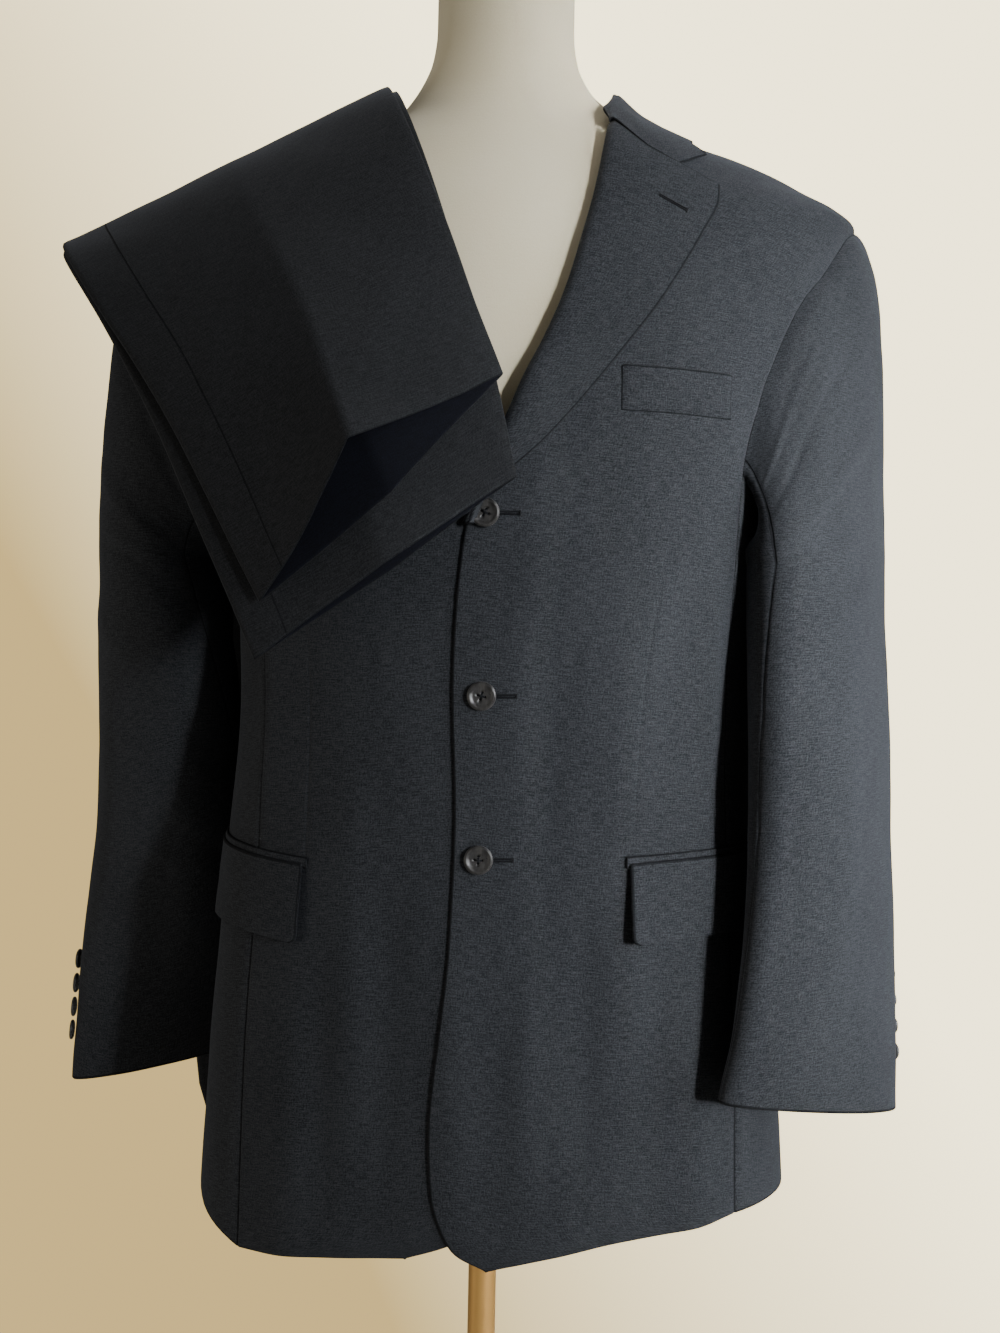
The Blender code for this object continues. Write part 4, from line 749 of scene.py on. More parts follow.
# Soft troughs (negative) and ridges of the jacket's body: from turn and height to turn
# and height, half width and height in millimetres.
BODY_CREASES = (
    # wearer's left front
    (0.0, 1.112, 38.0, 1.160, 9.0, -0.9),
    (4.0, 1.136, 30.0, 1.186, 7.0, 0.7),
    (2.0, 1.098, 24.0, 1.078, 8.0, 0.8),
    (0.0, 1.060, 18.0, 1.045, 9.0, -0.7),
    (0.0, 1.020, 26.0, 1.036, 8.0, 0.6),
    (3.0, 0.998, 30.0, 0.985, 10.0, -0.7),
    (4.0, 0.925, 30.0, 0.940, 10.0, 0.6),
    (49.0, 1.150, 46.0, 0.930, 20.0, -1.8),
    (56.0, 1.110, 57.0, 0.930, 12.0, 1.6),
    (38.0, 1.130, 34.0, 0.700, 24.0, 2.4),
    (15.0, 1.120, 13.0, 0.800, 22.0, -2.2),
    (26.0, 0.900, 28.0, 0.660, 15.0, -1.6),
    (45.0, 0.850, 43.0, 0.660, 12.0, -1.8),
    (12.0, 0.860, 10.0, 0.660, 14.0, 1.3),
    (58.0, 1.165, 30.0, 1.120, 9.0, -0.8),
    (60.0, 1.200, 40.0, 1.150, 8.0, 0.9),
    (66.0, 1.235, 50.0, 1.190, 8.0, -0.9),
    (70.0, 1.275, 56.0, 1.300, 10.0, -0.8),
    (60.0, 1.340, 76.0, 1.330, 12.0, 0.8),
    # wearer's right front
    (-1.0, 1.118, -36.0, 1.080, 9.0, -0.9),
    (-6.0, 1.085, -30.0, 1.040, 8.0, 0.8),
    (-3.0, 1.040, -28.0, 1.010, 9.0, -0.7),
    (-5.0, 0.985, -26.0, 0.965, 9.0, 0.6),
    (-52.0, 1.110, -48.0, 0.930, 20.0, -1.7),
    (-60.0, 1.080, -61.0, 0.900, 12.0, 1.6),
    (-38.0, 0.980, -36.0, 0.740, 15.0, 1.3),
    (-27.0, 0.900, -28.0, 0.660, 18.0, -2.3),
    (-44.0, 0.840, -42.0, 0.660, 12.0, -1.8),
    (-11.0, 0.870, -8.0, 0.660, 20.0, 2.3),
    (-60.0, 1.160, -34.0, 1.110, 9.0, -0.8),
    # under the arms
    (76.0, 1.130, 74.0, 0.960, 12.0, 1.5),
    (92.0, 1.130, 92.0, 0.900, 14.0, -1.8),
    (104.0, 1.140, 106.0, 0.760, 12.0, 1.7),
    (82.0, 0.900, 80.0, 0.680, 14.0, -1.6),
    (-76.0, 1.130, -74.0, 0.940, 12.0, 1.6),
    (-92.0, 1.120, -91.0, 0.900, 14.0, -1.8),
    (-105.0, 1.130, -107.0, 0.780, 12.0, 1.5),
    (-84.0, 0.880, -82.0, 0.680, 13.0, -1.5),
    # back
    (122.0, 1.200, 150.0, 1.120, 10.0, -1.2),
    (120.0, 1.150, 146.0, 1.060, 9.0, 1.1),
    (126.0, 1.090, 156.0, 1.040, 10.0, -1.0),
    (-122.0, 1.200, -151.0, 1.130, 10.0, -1.2),
    (-120.0, 1.145, -144.0, 1.070, 9.0, 1.1),
    (-128.0, 1.080, -158.0, 1.030, 10.0, -1.0),
    (140.0, 0.980, 143.0, 0.670, 16.0, 1.8),
    (-142.0, 0.960, -146.0, 0.670, 16.0, 1.7),
    (156.0, 0.930, 158.0, 0.665, 14.0, -1.5),
    (-158.0, 0.940, -160.0, 0.665, 14.0, -1.5),
    (170.0, 1.340, 120.0, 1.330, 11.0, -1.0),
    (-170.0, 1.335, -122.0, 1.325, 11.0, -1.0),
    (116.0, 1.320, 132.0, 1.220, 12.0, -1.4),
    (-116.0, 1.315, -134.0, 1.215, 12.0, -1.4),
    (174.0, 1.180, 150.0, 1.190, 14.0, 0.8),
    (-174.0, 1.170, -148.0, 1.185, 14.0, 0.8),
)

# Creases of a sleeve in its own way (0 armhole, 1 under the arm, 2 cuff) and angle.
SLEEVE_LEFT_CREASES = (
    (0.35, 40.0, 0.62, 128.0, 8.0, -1.6),
    (0.22, 60.0, 0.42, 128.0, 7.0, 1.3),
    (0.60, 30.0, 0.86, 124.0, 9.0, 1.6),
    (0.84, 50.0, 1.02, 130.0, 9.0, -1.8),
    (1.00, 20.0, 1.16, 118.0, 10.0, 1.5),
    (1.18, 60.0, 1.30, 142.0, 9.0, -1.7),
    (1.30, 20.0, 1.40, 120.0, 10.0, 1.4),
    (1.42, 70.0, 1.50, 150.0, 9.0, -1.5),
    (0.10, 85.0, 0.80, 92.0, 10.0, -1.3),
    (0.15, 108.0, 0.90, 112.0, 8.0, 1.3),
    (1.10, 96.0, 1.90, 104.0, 12.0, -1.4),
    (1.20, 60.0, 1.95, 66.0, 14.0, 1.4),
    (0.20, -40.0, 0.70, -70.0, 10.0, -1.5),
    (0.55, -20.0, 0.95, -70.0, 10.0, 1.4),
    (1.05, -30.0, 1.25, -88.0, 9.0, -1.6),
    (1.25, -20.0, 1.42, -80.0, 10.0, 1.4),
    (1.45, -25.0, 1.60, -60.0, 9.0, -1.2),
    (1.10, 180.0, 1.30, 260.0, 9.0, -1.6),
    (1.28, 170.0, 1.45, 250.0, 9.0, 1.5),
)

SLEEVE_RIGHT_CREASES = (
    (0.40, 30.0, 0.66, 120.0, 9.0, -1.5),
    (0.30, 60.0, 0.48, 128.0, 8.0, 1.2),
    (0.70, 20.0, 0.92, 116.0, 9.0, 1.5),
    (0.92, 40.0, 1.10, 130.0, 9.0, -1.8),
    (1.08, 10.0, 1.24, 112.0, 10.0, 1.6),
    (1.24, 40.0, 1.36, 138.0, 9.0, -1.7),
    (1.38, 10.0, 1.48, 120.0, 10.0, 1.3),
    (1.50, 60.0, 1.58, 160.0, 9.0, -1.4),
    (0.20, 88.0, 0.85, 94.0, 10.0, -1.3),
    (1.15, 80.0, 1.92, 96.0, 13.0, -1.4),
    (1.20, 40.0, 1.90, 52.0, 14.0, 1.3),
    (0.25, -38.0, 0.72, -66.0, 10.0, -1.5),
    (0.60, -20.0, 0.98, -68.0, 10.0, 1.4),
    (1.08, -30.0, 1.28, -80.0, 9.0, -1.6),
    (1.30, -20.0, 1.44, -70.0, 10.0, 1.3),
    (1.10, 170.0, 1.30, 250.0, 9.0, -1.6),
    (1.30, 165.0, 1.46, 240.0, 9.0, 1.4),
)

# Creases of the legs in their own way and share of the width.
LEG_CREASES = (
    (0.45, 0.10, 0.75, 0.40, 9.0, -0.9),
    (0.60, 0.60, 0.90, 0.90, 9.0, -0.8),
    (0.15, 0.62, 0.40, 0.95, 8.0, 0.7),
    (0.20, 0.05, 0.42, 0.30, 8.0, 0.7),
    (1.00, 0.15, 1.20, 0.45, 10.0, -1.2),
    (1.00, 0.85, 1.22, 0.55, 10.0, -1.2),
    (1.30, 0.10, 1.42, 0.60, 12.0, -1.3),
    (1.45, 0.90, 1.60, 0.35, 12.0, 1.2),
    (1.70, 0.10, 1.84, 0.70, 12.0, -1.2),
    (1.95, 0.85, 2.10, 0.30, 12.0, 1.2),
    (2.20, 0.20, 2.50, 0.28, 12.0, -1.2),
    (2.20, 0.80, 2.50, 0.72, 12.0, -1.2),
)

# Millimetres of one turn degree on the body, one degree on a sleeve, one way along a
# sleeve, the width of a leg, and one way along a leg; height of the slow unevenness.
TURN_MM = 3.3
ANGLE_MM = 0.95
WAY_MM = 360.0
LEG_SHARE_MM = 250.0
LEG_WAY_MM = 420.0
UNDULATION = 0.70 * MM


def crease_rise(rows, u, v, u_mm, v_mm):
    """Height in metres of a set of creases at (u, v), whose units are so many mm long."""
    rise = 0.0
    for ua, va, ub, vb, wide, high in rows:
        ax = (u - ua) * u_mm
        ay = (v - va) * v_mm
        bx = (ub - ua) * u_mm
        by = (vb - va) * v_mm
        reach = math.hypot(bx, by)
        t = (ax * bx + ay * by) / (reach * reach)
        if t < -0.06 or t > 1.06:
            continue
        off = (ax * by - ay * bx) / reach
        if abs(off) > 3.0 * wide:
            continue
        ends = ease((t + 0.06) / 0.34) * ease((1.06 - t) / 0.40)
        rise += high * MM * ends * math.exp(-(off / wide) ** 2)
    return rise


def undulation(u, v, seed):
    """Slow unevenness of hanging cloth."""
    slow = noise.noise(Vector((u, v, seed)))
    quick = noise.noise(Vector((u * 2.3, v * 2.3, seed + 7.0)))
    return UNDULATION * (slow + 0.4 * quick)


def body_point(turn, height, lift=0.0):
    rise = drape(turn, height)
    rise += crease_rise(BODY_CREASES, turn, height, TURN_MM, 1000.0)
    rise += undulation(turn * 0.055, height * 14.0, 1.0)
    return skin(BODY, turn, height, lift + rise)


def shown_object(name, mesh):
    thing = bpy.data.objects.new(name, mesh)
    bpy.context.scene.collection.objects.link(thing)
    return thing


def solid_mesh(name, points, faces):
    mesh = bpy.data.meshes.new(name)
    mesh.from_pydata([tuple(p) for p in points], [], faces)
    mesh.shade_smooth()
    return shown_object(name, mesh)


# ---- mesh of a cloth wall ----

RIM_ROUND = 0.5
# A strip along a rim that is narrower than this belongs to the turned edge, which is coloured darker as painted shade.
EDGE_TURN = 1.3 * MM
BODY_AXIS = (0.0, 0.005, 1.0)
# How far a seam draws the cloth in: first row, last row, first column, last column.
SEAM_SINK = 0.55 * MM
FRONT_SINK = (0, SEAM_SINK, 0, SEAM_SINK)
SEAMS_SINK = (0, SEAM_SINK, SEAM_SINK, SEAM_SINK)


def grid_normals(points):
    across = np.gradient(points, axis=1)
    along = np.gradient(points, axis=0)
    normals = np.cross(across, along)
    return normals / np.maximum(np.linalg.norm(normals, axis=2, keepdims=True), 1e-12)


def unit(rows):
    return rows / np.maximum(np.linalg.norm(rows, axis=-1, keepdims=True), 1e-12)


def away_from_axis(points, normals):
    """True if the normals point away from the middle of the body."""
    out = points - np.array([0.0, 0.005, 0.0])
    out[..., 2] = 0.0
    return float((out * normals).sum()) > 0


def arc_lengths(points):
    """Metres along and across a grid, for the weave."""
    step_c = np.linalg.norm(np.diff(points, axis=1), axis=2)
    step_r = np.linalg.norm(np.diff(points, axis=0), axis=2)
    u = np.concatenate([np.zeros((points.shape[0], 1)), np.cumsum(step_c, axis=1)], axis=1)
    v = np.concatenate([np.zeros((1, points.shape[1])), np.cumsum(step_r, axis=0)], axis=0)
    u -= u[:, u.shape[1] // 2][:, None]
    v -= v[v.shape[0] // 2][None, :]
    return u, v


def cloth_object(name, rings, faces, uvs):
    mesh = bpy.data.meshes.new(name)
    mesh.from_pydata([tuple(p) for p in rings], [], faces)
    layer = mesh.uv_layers.new(name="weave")
    loops = np.empty(len(mesh.loops), dtype=np.int32)
    mesh.loops.foreach_get("vertex_index", loops)
    layer.data.foreach_set("uv", uvs[loops].astype(np.float32).ravel())
    shaped = bmesh.new()
    shaped.from_mesh(mesh)
    bmesh.ops.recalc_face_normals(shaped, faces=shaped.faces)
    shaped.to_mesh(mesh)
    shaped.free()
    mesh.shade_smooth()
    return shown_object(name, mesh)


def grid_rims(rows, cols, band):
    """Loops of points along the edge of a grid: two of a band, one of any other."""
    if band:
        return [list(range(cols)), [(rows - 1) * cols + c for c in range(cols)]]
    rim = list(range(cols))
    rim += [r * cols + cols - 1 for r in range(1, rows)]
    rim += [(rows - 1) * cols + c for c in range(cols - 2, -1, -1)]
    rim += [r * cols for r in range(rows - 2, 0, -1)]
    return [rim]


def cloth_wall(name, points, wall, centred=False, sink=(0.0, 0.0, 0.0, 0.0), band=False, lined=None):
    """Cloth of a grid of points: its outer face, or its middle where centred.

    sink lowers the first row, last row, first column and last column, where a seam
    draws the cloth in. A band is closed on itself along its columns. lined is a point
    that the inner face looks to, where it differs from the outer one: the navy of the
    cloth's reverse, darkened further as painted shade.
    """
    points = np.array([[tuple(p) for p in row] for row in points], dtype=float)
    rows, cols = points.shape[:2]
    if band:
        around = np.roll(points, -1, axis=1) - np.roll(points, 1, axis=1)
        normals = unit(np.cross(around, np.gradient(points, axis=0)))
    else:
        normals = grid_normals(points)
    if not centred and not away_from_axis(points, normals):
        normals = -normals
    for amount, where in zip(sink, ((0, slice(None)), (-1, slice(None)), (slice(None), 0),
                                    (slice(None), -1))):
        points[where] -= normals[where] * amount
    if centred:
        outer = points + normals * wall / 2
        inner = points - normals * wall / 2
    else:
        outer = points
        inner = points - normals * wall
    middle = (outer + inner) / 2
    out = np.zeros_like(points)
    if not band:
        out[:, 0] += unit(points[:, 0] - points[:, 1])
        out[:, -1] += unit(points[:, -1] - points[:, -2])
    out[0] += unit(points[0] - points[1])
    out[-1] += unit(points[-1] - points[-2])
    middle = middle + unit(out) * wall * RIM_ROUND * (np.linalg.norm(out, axis=2) > 0)[..., None]
    u, v = arc_lengths(points)
    count = rows * cols
    faces = []
    last = cols if band else cols - 1
    for r in range(rows - 1):
        for c in range(last):
            d = (c + 1) % cols
            quad = (r * cols + c, r * cols + d, (r + 1) * cols + d, (r + 1) * cols + c)
            faces.append(quad)
            faces.append(tuple(count + k for k in reversed(quad)))
    verts = [outer.reshape(-1, 3), inner.reshape(-1, 3)]
    flat_uv = np.stack([u.ravel(), v.ravel()], axis=1)
    uvs = [flat_uv, flat_uv]
    start = 2 * count
    for rim in grid_rims(rows, cols, band):
        verts.append(middle.reshape(-1, 3)[rim])
        uvs.append(flat_uv[rim])
        for k, a in enumerate(rim):
            m = (k + 1) % len(rim)
            b = rim[m]
            faces.append((a, start + k, start + m, b))
            faces.append((start + k, count + a, count + b, start + m))
        start += len(rim)
    thing = cloth_object(name, np.concatenate(verts), faces, np.concatenate(uvs))
    mark_faces(thing, rows - 1, last, points, lined)
    return thing


def mark_faces(thing, rows, cols, points, lined):
    """Second material, coloured darker as painted shade, on the cut edge and its turning; third, the navy of the
    cloth's reverse darkened further as painted shade, on the face that looks to lined.
    """
    walls = 2 * rows * cols
    marks = np.ones(len(thing.data.polygons), dtype=np.int32)
    faces = np.zeros((rows, cols, 2), dtype=np.int32)
    if lined is not None:
        outer = thing.data.polygons[rows // 2 * 2 * cols + cols // 2 * 2]
        looks_in = outer.normal.dot(Vector(lined) - outer.center) > 0
        faces[:, :, 0 if looks_in else 1] = 2
    middle_row, middle_col = points.shape[0] // 2, points.shape[1] // 2
    for strip, a, b in ((faces[:, 0], points[middle_row, 0], points[middle_row, 1]),
                        (faces[:, -1], points[middle_row, -1], points[middle_row, -2]),
                        (faces[0], points[0, middle_col], points[1, middle_col]),
                        (faces[-1], points[-1, middle_col], points[-2, middle_col])):
        if np.linalg.norm(a - b) < EDGE_TURN:
            strip[:] = 1
    marks[:walls] = faces.ravel()
    thing.data.polygons.foreach_set("material_index", marks)


def fine(first, last, count, edge=0.0):
    """Even steps with one more row close to each end, at a share of the whole."""
    values = spread(first, last, count)
    if edge:
        span = last - first
        values = [first, first + span * edge] + values[1:-1] + [last - span * edge, last]
    return values


def near(values, places, reach):
    """Values with extra ones just before, at and after each of the places."""
    extra = [p + d * reach for p in places for d in (-2.5, -1.0, 0.0, 1.0, 2.5)]
    kept = [v for v in values if all(abs(v - p) > 3.5 * reach for p in places)]
    return sorted(kept + extra)


# ---- materials ----

def nodes_of(name):
    material = bpy.data.materials.new(name)
    material.use_nodes = True
    tree = material.node_tree
    return material, tree, tree.nodes["Principled BSDF"]


def add_node(tree, kind, **values):
    node = tree.nodes.new(kind)
    for key, value in values.items():
        if key in node.inputs:
            node.inputs[key].default_value = value
        else:
            setattr(node, key, value)
    return node


def object_place(tree):
    return add_node(tree, "ShaderNodeTexCoord").outputs["Object"]


def scaled_noise(tree, source, scale, detail, grain=1.0):
    """Noise over coordinates stretched by a scale for each direction."""
    mapping = add_node(tree, "ShaderNodeMapping")
    mapping.inputs["Scale"].default_value = scale
    tree.links.new(source, mapping.inputs["Vector"])
    texture = add_node(tree, "ShaderNodeTexNoise", Scale=grain, Detail=detail, Roughness=0.6)
    tree.links.new(mapping.outputs["Vector"], texture.inputs["Vector"])
    return texture.outputs["Fac"]


def ramp(tree, source, low, high, value_low, value_high):
    node = add_node(tree, "ShaderNodeMapRange")
    for key, value in (("From Min", low), ("From Max", high), ("To Min", value_low),
                       ("To Max", value_high)):
        node.inputs[key].default_value = value
    tree.links.new(source, node.inputs["Value"])
    return node.outputs["Result"]


def maths(tree, kind, a, b):
    node = add_node(tree, "ShaderNodeMath", operation=kind)
    for socket, value in zip(node.inputs, (a, b)):
        if isinstance(value, float):
            socket.default_value = value
        else:
            tree.links.new(value, socket)
    return node.outputs["Value"]


def mixed(tree, factor, a, b):
    node = add_node(tree, "ShaderNodeMix", data_type="RGBA")
    tree.links.new(factor, node.inputs[0])
    for socket, value in ((node.inputs[6], a), (node.inputs[7], b)):
        if isinstance(value, tuple):
            socket.default_value = value
        else:
            tree.links.new(value, socket)
    return node.outputs[2]


def coloured(tree, shader, tone, dark, light):
    tree.links.new(mixed(tree, tone, dark, light), shader.inputs["Base Color"])


def bumped(tree, shader, height, distance, strength=1.0):
    node = add_node(tree, "ShaderNodeBump", Strength=strength, Distance=distance)
    tree.links.new(height, node.inputs["Height"])
    tree.links.new(node.outputs["Normal"], shader.inputs["Normal"])


WOOL_DARK = (0.0085, 0.0095, 0.0117, 1.0)
WOOL_LIGHT = (0.050, 0.053, 0.059, 1.0)
TROUSER_DARK = (0.0080, 0.0086, 0.0096, 1.0)
TROUSER_LIGHT = (0.030, 0.031, 0.034, 1.0)
# Painted shade: cut rims and turned edges are coloured darker than the wool, for the shadow line along them.
EDGE_PAINTED_SHADE_DARK = (0.0040, 0.0044, 0.0056, 1.0)
EDGE_PAINTED_SHADE_LIGHT = (0.013, 0.014, 0.017, 1.0)
# Inner face: navy of the cloth's reverse, darkened further as painted shade of the hollow inside.
REVERSE_AND_SHADE_DARK = (0.0010, 0.0013, 0.0030, 1.0)
REVERSE_AND_SHADE_LIGHT = (0.0032, 0.0044, 0.0115, 1.0)
THREAD_DARK = (0.0045, 0.0048, 0.0060, 1.0)
HORN_DARK = (0.016, 0.0155, 0.0155, 1.0)
HORN_LIGHT = (0.062, 0.058, 0.054, 1.0)
JERSEY_DARK = (0.84, 0.73, 0.49, 1.0)
JERSEY_LIGHT = (0.91, 0.82, 0.60, 1.0)
BRASS_LIGHT = (0.82, 0.47, 0.14, 1.0)
BRASS_DARK = (0.76, 0.42, 0.12, 1.0)
FLOOR_PLASTER = (0.74, 0.72, 0.68, 1.0)

# Noise per metre across and along the cloth: yarns both ways, flecks, slow clouds.
WEFT = (115.0, 1400.0, 1.0)
WARP = (1400.0, 180.0, 1.0)
SPECK = (950.0, 950.0, 1.0)
CLOUD = (14.0, 9.0, 1.0)


def wool(name, dark=WOOL_DARK, light=WOOL_LIGHT, sheen=0.14):
    """Fine worsted: a close weave of short mixed streaks, small flecks and a soft bloom."""
    material, tree, shader = nodes_of(name)
    uv = add_node(tree, "ShaderNodeUVMap", uv_map="weave").outputs["UV"]
    weft = scaled_noise(tree, uv, WEFT, 2.0)
    warp = scaled_noise(tree, uv, WARP, 2.0)
    speck = scaled_noise(tree, uv, SPECK, 2.0)
    cloud = scaled_noise(tree, uv, CLOUD, 3.0)
    yarn = maths(tree, "ADD", maths(tree, "MULTIPLY", weft, 0.58), maths(tree, "MULTIPLY", warp, 0.42))
    fleck = maths(tree, "ADD", maths(tree, "MULTIPLY", yarn, 0.6), maths(tree, "MULTIPLY", speck, 0.4))
    tone = maths(tree, "ADD", ramp(tree, fleck, 0.42, 0.62, 0.0, 0.85),
                 ramp(tree, cloud, 0.3, 0.7, -0.07, 0.09))
    coloured(tree, shader, tone, dark, light)
    rough = ramp(tree, fleck, 0.35, 0.65, 0.92, 0.80)
    tree.links.new(rough, shader.inputs["Roughness"])
    shader.inputs["Specular IOR Level"].default_value = 0.22
    shader.inputs["Sheen Weight"].default_value = sheen
    shader.inputs["Sheen Roughness"].default_value = 0.45
    shader.inputs["Sheen Tint"].default_value = (0.55, 0.60, 0.72, 1.0)
    twill = maths(tree, "ADD", fleck, maths(tree, "MULTIPLY", cloud, 0.25))
    bumped(tree, shader, twill, 0.0004, 0.45)
    return material


def lighter(colour, times):
    return tuple(min(1.0, times * c) for c in colour[:3]) + (1.0,)


def thread(name):
    """Dark twisted sewing thread."""
    material, tree, shader = nodes_of(name)
    at = object_place(tree)
    twist = scaled_noise(tree, at, (2500.0, 2500.0, 2500.0), 1.0)
    tone = ramp(tree, twist, 0.35, 0.65, 0.0, 1.0)
    coloured(tree, shader, tone, THREAD_DARK, lighter(THREAD_DARK, 2.2))
    shader.inputs["Roughness"].default_value = 0.7
    shader.inputs["Specular IOR Level"].default_value = 0.2
    bumped(tree, shader, twist, 0.0002, 0.6)
    return material


def horn(name):
    """Dark grey-brown button with faint streaks and a soft polish."""
    material, tree, shader = nodes_of(name)
    at = object_place(tree)
    streak = scaled_noise(tree, at, (260.0, 90.0, 260.0), 4.0)
    fleck = scaled_noise(tree, at, (900.0, 900.0, 900.0), 2.0)
    tone = ramp(tree, streak, 0.35, 0.7, 0.0, 1.0)
    coloured(tree, shader, tone, HORN_DARK, HORN_LIGHT)
    tree.links.new(ramp(tree, fleck, 0.3, 0.7, 0.26, 0.42), shader.inputs["Roughness"])
    shader.inputs["Specular IOR Level"].default_value = 0.5
    shader.inputs["Coat Weight"].default_value = 0.25
    shader.inputs["Coat Roughness"].default_value = 0.25
    bumped(tree, shader, fleck, 0.00005, 0.5)
    return material


def jersey(name):
    """Pale stretched knit of the form's cover."""
    material, tree, shader = nodes_of(name)
    at = object_place(tree)
    knit = scaled_noise(tree, at, (1300.0, 1300.0, 700.0), 2.0)
    slub = scaled_noise(tree, at, (90.0, 90.0, 900.0), 2.0)
    cloud = scaled_noise(tree, at, (9.0, 9.0, 9.0), 3.0)
    tone = maths(tree, "ADD", ramp(tree, knit, 0.3, 0.7, 0.0, 0.45), ramp(tree, cloud, 0.3, 0.7, 0.0, 0.55))
    coloured(tree, shader, tone, JERSEY_DARK, JERSEY_LIGHT)
    shader.inputs["Roughness"].default_value = 0.92
    shader.inputs["Specular IOR Level"].default_value = 0.2
    shader.inputs["Sheen Weight"].default_value = 0.25
    bumped(tree, shader, maths(tree, "ADD", knit, maths(tree, "MULTIPLY", slub, 0.5)), 0.0004, 0.35)
    return material


def brass(name):
    """Brushed metal of the stand with a slightly uneven tone."""
    material, tree, shader = nodes_of(name)
    at = object_place(tree)
    brushed = scaled_noise(tree, at, (500.0, 500.0, 9.0), 2.0)
    patina = scaled_noise(tree, at, (12.0, 12.0, 4.0), 2.0)
    tone = ramp(tree, patina, 0.3, 0.7, 0.0, 1.0)
    coloured(tree, shader, tone, BRASS_LIGHT, BRASS_DARK)
    shader.inputs["Metallic"].default_value = 0.6
    tree.links.new(ramp(tree, brushed, 0.3, 0.7, 0.36, 0.44), shader.inputs["Roughness"])
    return material


def plaster(name):
    material, tree, shader = nodes_of(name)
    at = object_place(tree)
    grain = scaled_noise(tree, at, (30.0, 30.0, 30.0), 5.0)
    coloured(tree, shader, grain, FLOOR_PLASTER, lighter(FLOOR_PLASTER, 1.04))
    shader.inputs["Roughness"].default_value = 0.95
    return material


def dress(thing, material, slot, *nodes):
    """Material, body, finish slot and the solids that the piece stands for."""
    for cloth_part in material if isinstance(material, tuple) else (material,):
        thing.data.materials.append(cloth_part)
    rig.ride(thing, "root")
    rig.slot(thing, slot)
    if nodes:
        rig.replaces(thing, *nodes)
    return thing


# ---- jacket ----

# Outer face, turned edge and inner face of each cloth; the turned edge is coloured darker as painted shade, and the
# inner face is the navy of the cloth's reverse darkened further as painted shade.
SUITING = (wool("suiting_wool"), wool("suiting_edge_painted_shade", EDGE_PAINTED_SHADE_DARK, EDGE_PAINTED_SHADE_LIGHT, 0.0),
           wool("suiting_inside_painted_shade", REVERSE_AND_SHADE_DARK, REVERSE_AND_SHADE_LIGHT, 0.05))
TROUSERING = (wool("trouser_wool", TROUSER_DARK, TROUSER_LIGHT, 0.10),
              wool("trouser_edge_painted_shade", EDGE_PAINTED_SHADE_DARK, EDGE_PAINTED_SHADE_LIGHT, 0.0),
              wool("trouser_inside_painted_shade", REVERSE_AND_SHADE_DARK, REVERSE_AND_SHADE_LIGHT, 0.05))
THREAD = thread("sewing_thread")

# Waist darts: step of the front, share of its width.
DART_LEFT = ((4.55, 0.668), (6.0, 0.696), (7.15, 0.742))
DART_RIGHT = ((4.45, 0.815), (5.5, 0.815), (6.6, 0.820))
DART_BASE = 0.70
DART_SINK = 0.7 * MM
DART_NEAR = 0.004


def dart_grid(side, table, dart, steps, columns):
    """Front panel whose columns follow the dart; also how deep the dart draws it in."""
    rows = front_rows(side, table)
    grid = []
    for step in steps:
        edge_turn, edge_level, end_turn, end_level = row_at(rows, step)
        share = row_at(dart, step)[0]
        on = ease((step - dart[0][0]) / 0.4) * ease((dart[-1][0] - step) / 0.7)
        row = []
        for column in columns:
            if column < DART_BASE:
                u = column * share / DART_BASE
            else:
                u = share + (column - DART_BASE) * (1.0 - share) / (1.0 - DART_BASE)
            off = (column - DART_BASE) / DART_NEAR
            deep = DART_SINK * on * math.exp(-off * off / 1.6)
            row.append((between(edge_turn, end_turn, u), between(edge_level, end_level, u), -deep))
        grid.append(row)
    return grid


def body_rows(grid, lift_of):
    return [[body_point(t, z, lift_of(t, z) + extra) for t, z, extra in row] for row in grid]


def flat_lift(*_):
    return 0.0


def left_lift(turn, height):
    return overlap(on_rings(BODY, turn, height).x, height)


def plain(grid):
    return [[(t, z, 0.0) for t, z in row] for row in grid]


